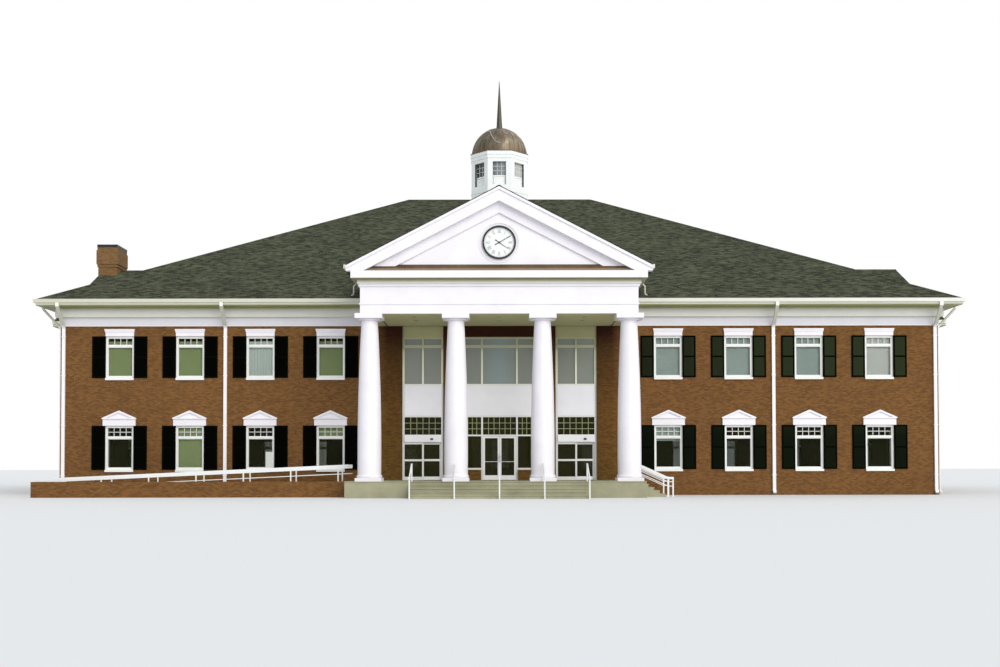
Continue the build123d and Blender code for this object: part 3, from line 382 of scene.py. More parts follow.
def painted(name, color, roughness=0.45, dirt=0.94, specular=0.5):
    """Paint on wood or metal, slightly uneven and faintly soiled."""
    paint = Paint(name, roughness=roughness, specular=specular)
    paint.color(paint.ramp(paint.noise(1.6, 6.0, 0.62), (0.34, scaled(color, dirt)), (0.62, color)))
    paint.bump(paint.noise(60.0, 3.0), 0.0006, 0.35)
    wear = paint.share(paint.noise(7.0), 0.0, 1.0, roughness - 0.06, roughness + 0.12)
    paint.put(paint.shader, {"Roughness": wear})
    return paint.material


def shutter_paint():
    """Near-black green, with painted light that lightens it towards the upper right of the front."""
    paint = Paint("shutter_green", roughness=0.8, specular=0.0)
    place = paint.axes()
    # Painted light: lighter to the right and higher up, on the key's side.
    right = paint.share(place["X"], -2.0, 9.0)
    up = paint.share(place["Z"], 1.6, 3.4)
    sun = paint.math("MULTIPLY", right, paint.math("MULTIPLY_ADD", up, 0.75, 0.25))
    paint.color(paint.ramp(sun, (0.0, (0.0018, 0.0022, 0.0016)), (0.2, (0.006, 0.0085, 0.0045)),
                           (1.0, (0.03, 0.037, 0.018))))
    return paint.material


def banded_paint(name, axis, start, end, *stops, roughness=0.5):
    """Paint whose tone changes along one axis, between two places on it."""
    paint = Paint(name, roughness=roughness, specular=0.4)
    tone = paint.ramp(paint.share(paint.axes()[axis], start, end), *stops)
    paint.color(paint.weather(tone, paint.noise(1.6, 6.0, 0.62), (0.34, grey(0.94)), (0.62, grey(1.0))))
    paint.bump(paint.noise(60.0, 3.0), 0.0006, 0.35)
    return paint.material


def eaves_paint():
    """White boards, with painted shade under the eaves along the top of the upper frieze."""
    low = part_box("eaves_cornice")[0].z
    # Painted shade: olive and dark bands high on the frieze, under the eaves.
    return banded_paint(
        "eaves_white_painted_shade", "Z", low, low + 0.7, (0.0, (0.86, 0.82, 0.74)), (0.04, (0.68, 0.667, 0.715)),
        (0.345, (0.67, 0.657, 0.7)), (0.36, (0.7, 0.7, 0.57)), (0.46, (0.72, 0.71, 0.68)),
        (0.57, (0.7, 0.675, 0.68)), (0.65, (0.6, 0.6, 0.46)), (0.71, (0.34, 0.35, 0.17)),
        (0.775, (0.28, 0.29, 0.13)), (0.79, (0.7, 0.69, 0.58)))


def beam_paint():
    """White boards over the columns, with painted shade in the shelter of the cornice."""
    cornice_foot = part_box("cornice_apron")[0].z - 0.19
    unshaded_white = (0.825, 0.8, 0.845)
    # Painted shade: darker olive bands just under the cornice.
    return banded_paint(
        "beam_white_painted_shade", "Z", cornice_foot - 0.3, cornice_foot + 0.05, (0.0, unshaded_white), (0.34, unshaded_white),
        (0.52, (0.76, 0.74, 0.74)), (0.66, (0.54, 0.55, 0.43)), (0.78, (0.38, 0.37, 0.24)),
        (0.87, (0.28, 0.26, 0.15)), (0.89, unshaded_white))


def gutter_paint():
    """Cream metal, with painted light that makes it whiter to the right, on the key's side."""
    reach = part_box("gutters")[1].x
    return banded_paint("cream_gutters", "X", -reach, reach, (0.0, (0.56, 0.55, 0.44)),
                        (0.5, (0.64, 0.63, 0.54)), (1.0, (0.74, 0.74, 0.7)), roughness=0.4)


def spout_paint():
    """White pipes, with painted shade that greys their neck under the eaves."""
    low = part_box("eaves_cornice")[0].z
    white = (0.84, 0.82, 0.82)
    return banded_paint(
        "white_spouts", "Z", low - 0.3, low + 0.6, (0.0, white), (0.32, white),
        (0.36, (0.52, 0.525, 0.43)), (0.86, (0.56, 0.565, 0.47)), (0.9, (0.88, 0.88, 0.82)))


def entrance_paint():
    """The entrance's white frames, with painted olive shade where they stand up against the ceiling."""
    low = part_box("centre_bay_frame")[0].z
    return banded_paint(
        "entrance_white_painted_shade", "Z", low, low + 4.325, (0.0, (0.8, 0.805, 0.79)),
        (0.61, (0.85, 0.85, 0.83)), (0.65, (0.93, 0.94, 0.76)), (0.83, (0.8, 0.82, 0.6)),
        (0.86, (0.48, 0.5, 0.32)), (1.0, (0.44, 0.44, 0.26)), roughness=0.4)


def concrete_material(name, color):
    """Cast concrete with aggregate, pores and damp patches."""
    paint = Paint(name, roughness=0.86, specular=0.3)
    patches = paint.ramp(paint.noise(1.3, 6.0, 0.62), (0.32, scaled(color, 0.72)), (0.66, color))
    paint.color(paint.weather(patches, paint.noise(95.0, 3.0, 0.7),
                              (0.35, (0.78, 0.78, 0.77)), (0.65, (1.1, 1.1, 1.08))))
    paint.bump(paint.noise(160.0, 4.0, 0.7), 0.0015, 0.6)
    return paint.material


def shingle_material():
    """Laminated asphalt shingles: dark green-grey granules, with tabs of differing shade."""
    paint = Paint("roof_shingles", roughness=0.95, specular=0.15)
    row = SHINGLE_EXPOSURE * math.sin(math.atan(ROOF_SLOPE))
    made = paint.bricks(paint.plane(roof=True), SHINGLE_LENGTH, row, 0.0018,
                        (0.022, 0.026, 0.016), (0.092, 0.1, 0.064), (0.016, 0.018, 0.012))
    color = paint.weather(made.outputs["Color"], paint.noise(1.1, 4.0, 0.6),
                          (0.34, grey(0.86)), (0.64, (1.12, 1.12, 1.1)))
    granules = paint.noise(260.0, 2.0, 0.8)
    paint.color(paint.weather(color, granules, (0.36, grey(0.6)), (0.66, (1.4, 1.4, 1.34))))
    paint.bump(granules, 0.0012, 0.7)
    return paint.material


def copper_material():
    """Weathered brown copper, with painted light that brightens it to the right, and a warmer foot."""
    paint = Paint("weathered_copper", roughness=0.48, metallic=0.55)
    stretch = paint.add("Mapping", {"Vector": paint.place(), "Scale": (1.0, 1.0, 0.16)})
    tone = paint.ramp(paint.noise(6.5, 5.0, 0.65, stretch.outputs[0]), (0.3, (0.07, 0.056, 0.04)),
                      (0.52, (0.12, 0.096, 0.068)), (0.74, (0.25, 0.215, 0.16)))
    place = paint.axes()
    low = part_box("dome")[0].z
    foot = paint.share(place["Z"], low + 0.04, low + 0.36, 0.65, 0.0)
    # Painted light: darker to the left and brighter to the right, on the key's side.
    tone = paint.weather(tone, paint.share(place["X"], -1.0, 1.0),
                         (0.0, (0.8, 0.82, 0.72)), (0.45, grey(1.0)),
                         (0.8, (2.25, 2.25, 2.2)), (1.0, (1.8, 1.8, 1.65)))
    paint.color(paint.mix(foot, tone, (0.13, 0.085, 0.042)))
    paint.bump(paint.noise(4.0, 5.0), 0.006, 0.35)
    return paint.material


def metal_material(name, color, roughness=0.45, metallic=0.7):
    paint = Paint(name, roughness=roughness, metallic=metallic)
    paint.color(paint.ramp(paint.noise(14.0, 5.0, 0.65), (0.35, scaled(color, 0.7)), (0.65, color)))
    paint.bump(paint.noise(120.0, 3.0), 0.0004, 0.4)
    return paint.material


def flashing_material():
    """Sheet metal that is tan along its foot and brown above it."""
    paint = Paint("brown_flashing", roughness=0.6)
    low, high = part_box("cornice_apron")
    tone = paint.ramp(paint.share(paint.axes()["Z"], low.z, high.z),
                      (0.0, (0.25, 0.17, 0.1)), (0.3, (0.22, 0.148, 0.084)),
                      (0.46, (0.06, 0.03, 0.006)), (1.0, (0.066, 0.034, 0.008)))
    rust = paint.ramp(paint.noise(3.0), (0.35, (0.1, 0.06, 0.03)), (0.65, (0.28, 0.19, 0.11)))
    paint.color(paint.mix(0.15, tone, rust))
    return paint.material


def glass_material(name, tint, clear, specular, line, sky_reflection_tones, upper_clear):
    """A tinted see-through sheet under a gloss, with painted reflections of the sky, left to right,
    above a height.
    """
    paint = Paint(name, roughness=0.03, specular=specular)
    place = paint.axes()
    lower = paint.ramp(paint.noise(0.8, 3.0, 0.5), (0.38, scaled(tint, 0.75)), (0.62, tint))
    above = paint.math("GREATER_THAN", place["Z"], line)
    across = paint.math("MULTIPLY_ADD", place["X"], 0.7, 0.5)
    left, middle, right = sky_reflection_tones
    # Painted reflection of the sky on the upper glass.
    sky = paint.weather(paint.ramp(across, (0.05, left), (0.5, middle), (0.95, right)),
                        paint.noise(0.5, 2.0, 0.5), (0.3, grey(0.85)), (0.7, grey(1.0)))
    paint.color(paint.mix(above, lower, sky))
    paint.bump(paint.noise(2.2, 2.0), 0.004, 0.25)
    through = paint.add("BsdfTransparent", {"Color": (0.97, 0.98, 0.96, 1)})
    weight = paint.add("LayerWeight", {"Blend": 0.18})
    open_share = paint.math("MULTIPLY_ADD", above, upper_clear - clear, clear)
    keep = paint.math("MULTIPLY", paint.math("SUBTRACT", 1.0, weight.outputs["Fresnel"]), open_share)
    mixed = paint.add("MixShader", {0: keep, 1: paint.shader.outputs[0], 2: through.outputs[0]})
    paint.put(paint.tree.nodes["Material Output"], {"Surface": mixed.outputs[0]})
    return paint.material


BRICK_TONES = ((0.118, 0.05, 0.013), (0.21, 0.095, 0.026), (0.2, 0.125, 0.055))
BRICK = brick_material("sunlit_brick", *BRICK_TONES)
CHIMNEY_BRICK = brick_material("chimney_brick", (0.15, 0.075, 0.024), (0.25, 0.135, 0.05),
                               (0.3, 0.215, 0.12))
# Tones of painted shade for the brick inside the portico, by height up to its ceiling.
PORCH_SHADE_TONES = ((0.1, (0.78, 0.88, 0.6)), (0.5, (0.76, 0.74, 0.46)), (0.86, (0.44, 0.42, 0.28)),
        (0.95, (0.22, 0.1, 0.07)))
SHADED_PORCH_BRICK = brick_material("porch_brick_painted_shade", *BRICK_TONES, painted_porch_shade=PORCH_SHADE_TONES)
WHITE = painted("white_trim", (0.825, 0.8, 0.845))
# Painted light: a whiter copy of the trim for the sunlit cupola.
CUPOLA_WHITE = painted("cupola_white", (0.88, 0.905, 0.905))
EAVES_WHITE_PAINTED_SHADE = eaves_paint()
BEAM_WHITE_PAINTED_SHADE = beam_paint()
GUTTER_CREAM = gutter_paint()
SPOUT_WHITE = spout_paint()
FRAME_WHITE = painted("white_frames", (0.8, 0.805, 0.78), 0.38)
ENTRANCE_WHITE_PAINTED_SHADE = entrance_paint()
DOOR_WHITE = painted("white_doors", (0.93, 0.925, 0.94), 0.38)
# Painted light: whiter than the trim, lifting the spandrels in the portico's shade.
PANEL_WHITE = painted("white_panels", (0.95, 0.94, 0.99), 0.5)
RAIL_WHITE = painted("white_rails", (0.8, 0.815, 0.815), 0.3)
CEILING = painted("ceiling_boards", (0.53, 0.515, 0.28), 0.6)
HEAD_OLIVE = painted("olive_head_panels", (0.44, 0.425, 0.225), 0.6)
SHUTTER_GREEN_PAINTED_LIGHT = shutter_paint()
DARK_GREEN = painted("dark_green", (0.0025, 0.003, 0.002), 0.8, specular=0.0)
CONCRETE = concrete_material("concrete", (0.4, 0.385, 0.26))
FLOOR = concrete_material("floor_slab", (0.33, 0.315, 0.28))
SHINGLES = shingle_material()
COPPER = copper_material()
BRONZE = metal_material("dark_bronze", (0.085, 0.075, 0.05), 0.42)
BLACK_METAL = metal_material("black_metal", grey(0.018), 0.45, 0.3)
DIAL = painted("clock_dial", (0.8, 0.83, 0.82), 0.35, 0.97)
FLASHING = flashing_material()
# Painted sky reflections above ten metres, dark to the left and pale to the right.
GLASS = glass_material("window_glass", (0.05, 0.058, 0.018), 0.91, 0.35, 10.0,
                       ((0.045, 0.055, 0.045), (0.23, 0.27, 0.3), (0.6, 0.61, 0.6)), 0.1)
# Below the storey line dark olive glass, partly a painted reflection of trees; above it painted sky
# reflections.
DOOR_GLASS = glass_material("entrance_glass", (0.03, 0.029, 0.004), 0.34, 0.12, STOREY_LINE,
                            ((0.35, 0.375, 0.335), (0.38, 0.465, 0.47), (0.35, 0.375, 0.335)), 0.18)
CURTAIN = painted("pale_curtain", (0.62, 0.7, 0.7), 0.8)
OLIVE_BAR = painted("olive_bars", (0.5, 0.515, 0.29))
DARK_LINER = painted("dark_liner", (0.07, 0.072, 0.058), 0.6)
NUMERAL = painted("numeral_grey", (0.23, 0.24, 0.25), 0.5)
LAMP_LENS = painted("lamp_lens", (0.11, 0.105, 0.07), 0.3)

FINISHES = {
    "brick": BRICK, "concrete": CONCRETE, "floor": FLOOR, "white_trim": WHITE, "soffit": CEILING,
    "roof_shingle": SHINGLES, "shutter_green": SHUTTER_GREEN_PAINTED_LIGHT, "window_frame": FRAME_WHITE,
    "door_frame": FRAME_WHITE, "panel": PANEL_WHITE, "handrail": RAIL_WHITE, "copper": COPPER,
    "bronze": BRONZE, "clock_metal": BLACK_METAL, "clock_dial": DIAL, "cap_metal": BLACK_METAL,
    "glass": DOOR_GLASS, "flashing": FLASHING,
}


def dress_nodes():
    """Every CAD node takes the finish of its slot, unless it has one of its own."""
    slots = {part["node"]: part["material_slot"] for part in frame["record"]["subparts"]}
    own = {"chimney_stack": CHIMNEY_BRICK, "eaves_cornice": EAVES_WHITE_PAINTED_SHADE, "gutters": GUTTER_CREAM,
           "portico_entablature": BEAM_WHITE_PAINTED_SHADE, "downspouts": SPOUT_WHITE, "cupola_drum": CUPOLA_WHITE,
           "shutters": DARK_GREEN, "window_glass": GLASS,
           "centre_bay_frame": ENTRANCE_WHITE_PAINTED_SHADE, "side_bay_frames": ENTRANCE_WHITE_PAINTED_SHADE}
    for name in ("entrance_piers", "entrance_lintel", "front_wall_left", "front_wall_right"):
        own[name] = SHADED_PORCH_BRICK
    for name in DOORS:
        own[name] = DOOR_WHITE
    for name, thing in nodes.items():
        thing.data.materials.clear()
        thing.data.materials.append(own.get(name, FINISHES[slots[name]]))


# Windows

def windows():
    """Every window as a facade place, read from its frame."""
    return [Facade(low, high, SILL_PROJECTION) for low, high in solids_of("window_frames")]


def top_light_foot(window):
    return window.top - (GROUND_TRANSOM_DROP if window.on_ground_floor else UPPER_TRANSOM_DROP)


def glazing_bars(all_windows):
    """Bars in each window's top light, and the sash's edges under it."""
    shape = Shape()
    back = WINDOW_RECESS + BAR_DEPTH
    front = back - MUNTIN
    for window in all_windows:
        shape.place = window.place
        inner = window.half - WINDOW_BAR
        foot = top_light_foot(window)
        shape.grid((-inner, front, foot), (inner, back, window.top - WINDOW_BAR),
                   4, 2 if window.on_ground_floor else 1, MUNTIN)
        shape.border((-inner, front, window.bottom + SILL_HEIGHT + WINDOW_BAR),
                     (inner, back, foot - TRANSOM_BAR), SASH)
    piece("glazing_bars", shape, FRAME_WHITE)


def window_beads(all_windows):
    """A thin outer bead round each frame, and one along its transom."""
    shape = Shape()
    bead = 0.016
    front = WINDOW_RECESS - 0.014
    for window in all_windows:
        shape.place = window.place
        low = window.bottom + SILL_HEIGHT
        half = window.half
        top = window.top
        shape.box((-half, front, low), (-half + bead, WINDOW_RECESS, top))
        shape.box((half - bead, front, low), (half, WINDOW_RECESS, top))
        shape.box((-half + bead, front, top - bead), (half - bead, WINDOW_RECESS, top))
        foot = top_light_foot(window)
        shape.box((-half + WINDOW_BAR, WINDOW_RECESS - 0.008, foot - TRANSOM_BAR * 0.75),
                  (half - WINDOW_BAR, WINDOW_RECESS, foot - TRANSOM_BAR * 0.25))
    piece("window_beads", shape, FRAME_WHITE, bevel=0.003)


def draw_slats(shape, inner, depth, bottom, high):
    """A blind's slats from its head down to where it is drawn."""
    pitch = 0.02
    width = 0.018
    lean = 0.01
    for i in range(int((high - bottom) / pitch)):
        z = high - i * pitch
        shape.quad((-inner, depth + lean, z), (inner, depth + lean, z),
                   (inner, depth, z - width), (-inner, depth, z - width))


def draw_curtain(shape, inner, depth, low, high):
    """Cloth that hangs in folds over the whole window."""
    folds = 16
    shape.loops([[(-inner + 2 * inner * k / folds, depth + (0.006 if k % 2 else -0.004), z)
                  for k in range(folds + 1)] for z in (low, high)], closed=False, cap=False)


def blinds(all_windows):
    """Slatted blinds drawn to different heights, and a few curtains upstairs."""
    full = 0.995
    drawn_in_front = (0.0, full, 0.0, 0.3, 0.35, 0.0, 0.0, 0.0)
    hall_half = 5.0
    chance = random.Random(11)
    front = [window for window in all_windows if window.angle == 0]
    ground_xs = sorted(window.middle.x for window in front if window.on_ground_floor)
    wall_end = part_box("front_wall_right")[1].x
    last_x = max(window.middle.x for window in front if window.middle.x < wall_end)
    # The blinds are real; the pale blue-grey and near-white tones of the right-hand and end blinds are
    # painted sky reflection.
    kinds = (("left_window_blinds", painted("green_blind", (0.41, 0.5, 0.24), 0.6)),
             ("right_window_blinds", painted("grey_blind", (0.57, 0.68, 0.69), 0.6)),
             ("end_window_blinds", painted("pale_blind", (0.96, 0.98, 0.99), 0.6)))
    slats = [Shape() for kind in kinds]
    cloth = Shape()
    depth = WINDOW_RECESS + BAR_DEPTH + 0.035
    for window in all_windows:
        x = window.middle.x
        inner = window.half - WINDOW_BAR - 0.006
        low = window.bottom + SILL_HEIGHT + WINDOW_BAR
        high = window.top - WINDOW_BAR
        if not window.on_ground_floor:
            drawn = full
            if window.angle == 0 and x < 0:
                high -= 0.075
        elif window.angle == 0:
            drawn = drawn_in_front[ground_xs.index(x)]
        elif window.angle == math.pi and abs(x) < hall_half:
            drawn = full
        else:
            drawn = chance.choice([0.0, 0.4, full])
        if window.on_ground_floor or chance.random() < 0.8:
            blind = slats[0 if x < 0 else 1 if x < last_x - 0.1 else 2]
            blind.place = window.place
            draw_slats(blind, inner, depth, high - (high - low) * drawn, high)
        else:
            cloth.place = window.place
            draw_curtain(cloth, inner, depth, low, high)
    for (name, paint), blind in zip(kinds, slats):
        piece(name, blind, paint)
    piece("window_curtains", cloth, CURTAIN)


def shutter_louvres():
    """Tilted louvres in both sunk fields of every shutter."""
    shape = Shape()
    face = -SHUTTER_THICKNESS
    floor = SHUTTER_POCKET - SHUTTER_THICKNESS
    for low, high in solids_of("shutters"):
        shutter = Facade(low, high)
        shape.place = shutter.place
        half = shutter.half - SHUTTER_STILE
        middle = (shutter.bottom + shutter.top) / 2
        for bottom, top in ((shutter.bottom + SHUTTER_STILE, middle - SHUTTER_STILE / 2),
                            (middle + SHUTTER_STILE / 2, shutter.top - SHUTTER_STILE)):
            count = round((top - bottom) / LOUVRE_PITCH)
            pitch = (top - bottom) / count
            for i in range(count):
                z = bottom + pitch * i
                shape.loops([[(x, face + 0.0005, z + 0.001), (x, face + 0.0035, z + 0.0005),
                              (x, floor, z + pitch * 0.8), (x, floor - 0.0015, z + pitch * 0.92)]
                             for x in (-half, half)])
    piece("shutter_louvres", shape, SHUTTER_GREEN_PAINTED_LIGHT)


# Roofs

def slope_courses(shape, reach, span):
    """Courses of shingles up one slope, each with a raised butt at its foot.

    span(d) gives the runs of the course whose foot is that far from the eave.
    """
    step = SHINGLE_EXPOSURE * math.cos(math.atan(ROOF_SLOPE))
    up = Vector((0, 0, SHINGLE_BUTT))
    thin = up * 0.15
    for i in range(int(reach / step)):
        foot = i * step
        head = min(foot + step, reach)
        for (a, b), (c, d) in zip(span(foot), span(head)):
            shape.quad(a, b, b + up, a + up)
            shape.quad(a + up, b + up, d + thin, c + thin)


def runs(place, eave_z, distance, *spans):
    """The ends of a course's runs, as points just over the slope."""
    z = eave_z + ROOF_SLOPE * distance + 0.0015
    return [[place @ Vector((along, distance, z)) for along in span] for span in spans]


def roofs():
    """Shingle courses over the main hips, the wings and the portico, cut at their valleys."""
    half_x, half_y, ridge_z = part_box("main_roof")[1]
    wing_end, wing_half, wing_ridge_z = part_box("wing_roofs")[1]
    porch_low, porch_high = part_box("portico_roof")
    porch_half = porch_high.x
    eave_z = ridge_z - ROOF_SLOPE * half_y
    porch_eave = porch_high.z - ROOF_SLOPE * porch_half
    porch_lift = (porch_eave - eave_z) / ROOF_SLOPE
    valley_end = porch_half + porch_lift
    beam_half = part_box("columns")[1].x - PLINTH_HALF + BEAM_HALF
    shape = Shape()

    def front_span(d):
        edge = max(beam_half, valley_end - d) if d <= valley_end else 0.0
        return runs(turned(0, half_y), eave_z, d, (d - half_x, -edge), (edge, half_x - d))

    def side_span(angle):
        def span(d):
            edge = max(wing_half - d, 0.0)
            return runs(turned(angle, half_x), eave_z, d, (d - half_y, -edge), (edge, half_y - d))
        return span

    slope_courses(shape, half_y, front_span)
    slope_courses(shape, half_y, lambda d: runs(
        turned(math.pi, half_y), eave_z, d, (d - half_x, half_x - d)))
    for angle in (-math.pi / 2, math.pi / 2):
        slope_courses(shape, half_y, side_span(angle))
    for angle in (0, math.pi):
        slope_courses(shape, wing_half, lambda d: runs(
            turned(angle, wing_half), eave_z, d, (-wing_end, d - half_x), (half_x - d, wing_end)))
    for side in (-1, 1):
        place = turned(side * math.pi / 2, porch_half)
        slope_courses(shape, porch_half, lambda d: runs(
            place, porch_eave, d, (porch_low.y * side, (porch_lift + d - half_y) * side)))
    piece("roof_courses", shape, SHINGLES)

    caps = Shape()
    peak_x = half_x - half_y
    ridge_caps(caps, (-peak_x, 0, ridge_z), (peak_x, 0, ridge_z))
    for side in (-1, 1):
        for way in (-1, 1):
            ridge_caps(caps, (side * half_x, way * half_y, eave_z), (side * peak_x, 0, ridge_z))
        ridge_caps(caps, (side * wing_end, 0, wing_ridge_z),
                   (side * (half_x - wing_half), 0, wing_ridge_z))
    ridge_caps(caps, (0, porch_low.y, porch_high.z), (0, valley_end - half_y, porch_high.z))
    piece("ridge_caps", caps, SHINGLES)


def ridge_caps(shape, start, end):
    """Bent shingles that overlap along a ridge or hip."""
    start = Vector(start)
    along = Vector(end) - start
    length = along.length
    along.normalize()
    half = 0.085
    butt, head = 0.016, 0.009
    side = along.cross(Vector((0, 0, 1))).normalized() * half
    fall = 1.0 if abs(along.z) < 0.01 else 1 / math.sqrt(2)
    down = Vector((0, 0, -half * ROOF_SLOPE * fall))
    count = max(1, int(length / SHINGLE_EXPOSURE))
    step = length / count
    for i in range(count):
        foot = start + along * step * i
        rings = []
        for point, height in ((foot, butt), (foot + along * step, head)):
            lift = Vector((0, 0, height))
            rings.append([point + side + down + lift, point + lift, point - side + down + lift,
                          point - side + down + lift * 0.3, point + side + down + lift * 0.3])
        shape.loops(rings)


# Portico

def disc_ring(shape, centre, outer, inner, z0, z1, sides=20):
    """A flat ring, or a disc where the inner radius is nothing."""
    x, y = centre
    turns = [math.tau * k / sides for k in range(sides)]

    def ring(radius, z):
        return [(x + radius * math.cos(turn), y + radius * math.sin(turn), z) for turn in turns]

    if inner:
        shape.loops([ring(inner, z1), ring(inner, z0), ring(outer, z0), ring(outer, z1)], cap=False)
    else:
        shape.loops([ring(outer, z0), ring(outer, z1)])


def downlights():
    """Recessed round lamps in the portico's ceiling, two behind each gap between columns."""
    low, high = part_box("portico_ceiling")
    rim, lens = 0.07, 0.056
    rims = Shape()
    lenses = Shape()
    columns = sorted((box[0].x + box[1].x) / 2 for box in solids_of("columns"))
    for a, b in zip(columns, columns[1:]):
        for depth in (0.1, 0.45):
            centre = ((a + b) / 2, low.y + (high.y - low.y) * depth)
            disc_ring(rims, centre, rim, lens, low.z - 0.006, low.z)
            disc_ring(lenses, centre, lens, 0.0, low.z - 0.002, low.z)
    piece("downlight_rims", rims, HEAD_OLIVE)
    piece("downlight_lenses", lenses, LAMP_LENS)


def soffits():
    """Boards under the portico's beams in the ceiling's paint, and an open joint beside the ceiling."""
    low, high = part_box("portico_ceiling")
    gap = 0.002
    joint = 0.02
    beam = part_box("portico_entablature")[1].x - 0.22 - gap
    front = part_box("cornice_apron")[1].y + gap
    rear = high.y - 2 * gap
    under = low.z - gap
    boards = Shape()
    joints = Shape()
    boards.box((-beam, front, under), (beam, low.y, low.z))
    for side in (-1, 1):
        edge = side * (high.x + joint)
        for shape, end in ((boards, side * beam), (joints, side * (high.x - joint))):
            shape.box((min(edge, end), low.y, under), (max(edge, end), rear, low.z))
    piece("beam_soffits", boards, CEILING)
    piece("ceiling_joints", joints, DARK_LINER)


# Entrance

def transom_lights():
    """The sheets of glass right over the doors of all three bays."""
    lowest, highest = TRANSOM_LIGHT_FOOT
    return [box for box in solids_of("entrance_glass") if lowest < box[0].z < highest]


def entrance_bars():
    """Glazing bars of the lights over the doors, more of them in wide lights."""
    shape = Shape()
    rows = 3
    half = 0.006
    proud = 0.01
    wide = 0.8
    for low, high in transom_lights():
        columns = 6 if high.x - low.x > wide else 4
        shape.grid((low.x, low.y - proud, low.z), (high.x, high.y + 0.004, high.z), columns, rows, half)
    piece("entrance_bars", shape, OLIVE_BAR)


def entrance_sheets():
    """Flush sheets over the spandrels, heads and door tracks, a sensor on each track, and mouldings."""
    panels = solids_of("entrance_panels")
    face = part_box("centre_bay_frame")[0].y - SHEET
    side_lap = 0.055
    foot_lap = 0.02
    top_lap = 0.045
    spandrels = Shape()
    heads = Shape()
    bays = ([], [], [])
    for low, high in panels:
        x = (low.x + high.x) / 2
        bays[0 if x < -SIDE_BAYS_FROM else 1 if x < SIDE_BAYS_FROM else 2].append((low, high))
    for bay in bays:
        left = min(low.x for low, high in bay)
        right = max(high.x for low, high in bay)
        bottom = min(low.z for low, high in bay)
        top = max(high.z for low, high in bay if high.z < HEADS_ABOVE)
        spandrels.box((left, face, bottom), (right, face + SHEET, top))
        for low, high in [box for box in bay if box[0].z > HEADS_ABOVE][:1]:
            heads.box((left - side_lap, face, low.z - foot_lap),
                      (right + side_lap, face + SHEET, high.z + top_lap))

    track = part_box("side_bay_frames")[0].y
    track_foot = 0.205
    sensor_half = 0.038
    sensor_foot = 0.148
    sensors = Shape()
    for low, high in transom_lights():
        x = (low.x + high.x) / 2
        if abs(x) > SIDE_BAYS_FROM:
            spandrels.box((low.x, track - SHEET, low.z - track_foot), (high.x, track, low.z - 0.005))
            x += 0.25
            sensors.box((x - sensor_half, track - 0.03, low.z - sensor_foot),
                        (x + sensor_half, track - SHEET, low.z - 0.1))

    mouldings = Shape()
    edge = 0.028
    width = 0.01
    for low, high in panels:
        if low.z < HEADS_ABOVE:
            mouldings.border((low.x + edge, face - SHEET, low.z + edge),
                             (high.x - edge, face, high.z - edge), width)
    piece("door_sensors", sensors, BLACK_METAL, bevel=0.006)
    piece("spandrel_sheets", spandrels, PANEL_WHITE)
    piece("head_sheets", heads, HEAD_OLIVE)
    piece("panel_mouldings", mouldings, PANEL_WHITE)


def push_bars():
    """A bar across the inside of each hinged leaf, and a pull handle outside by the meeting stiles."""
    reach = 0.03
    bar_above_floor = 0.44
    bracket_inset = 0.025
    bracket_half = 0.018
    handle_above_floor = 0.5
    handle_length = 0.15
    handle_inset = 0.022
    for name in HINGED_DOORS:
        low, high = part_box(name)
        shape = Shape()
        z = low.z + bar_above_floor
        for x in (low.x + bracket_inset, high.x - bracket_inset):
            shape.box((x - bracket_half, high.y, z - 0.004),
                      (x + bracket_half, high.y + reach, z + 0.032))
        inset = bracket_inset + bracket_half
        shape.box((low.x + inset, high.y + 0.01, z), (high.x - inset, high.y + reach, z + 0.028))
        x = min(low.x, high.x, key=abs) + math.copysign(handle_inset, (low + high).x)
        foot = low.z + handle_above_floor
        head = foot + handle_length
        near = low.y + 0.002
        out = low.y - 0.026
        shape.tube([(x, near, foot), (x, out, foot), (x, out, head), (x, near, head)], 0.006, 8)
        grey_metal = metal_material(name + "_grey", (0.3, 0.31, 0.31), 0.4)
        piece(name + "_push_bar", shape, grey_metal, name, bevel=0.003)


def lintel_soldiers():
    """Upright bricks in a row over the entrance bays."""
    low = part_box("entrance_lintel")[0]
    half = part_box("centre_bay_frame")[1].x
    height = 0.098
    shape = Shape()
    count = int(2 * half / BRICK_COURSE)
    step = 2 * half / count
    for i in range(count):
        x = -half + i * step
        shape.box((x + MORTAR / 2, low.y - 0.003, low.z + 0.004),
                  (x + step - MORTAR / 2, low.y + 0.004, low.z + height))
    piece("lintel_soldiers", shape, SHADED_PORCH_BRICK)


# Clock

def numeral_strokes(text):
    """Roman figures as strokes: (x at foot, x at head, width) in units of the figure's height."""
    thick, thin = 0.11, 0.07
    letters = {"I": (0.22, [(0.09, 0.09, thick)]),
               "V": (0.56, [(0.27, 0.06, thick), (0.27, 0.48, thin)]),
               "X": (0.56, [(0.48, 0.06, thick), (0.06, 0.48, thin)])}
    strokes = []
    x = 0.0
    for letter in text:
        advance, lines = letters[letter]
        strokes += [(x + foot, x + head, width) for foot, head, width in lines]
        x += advance
    return strokes, x - 0.04


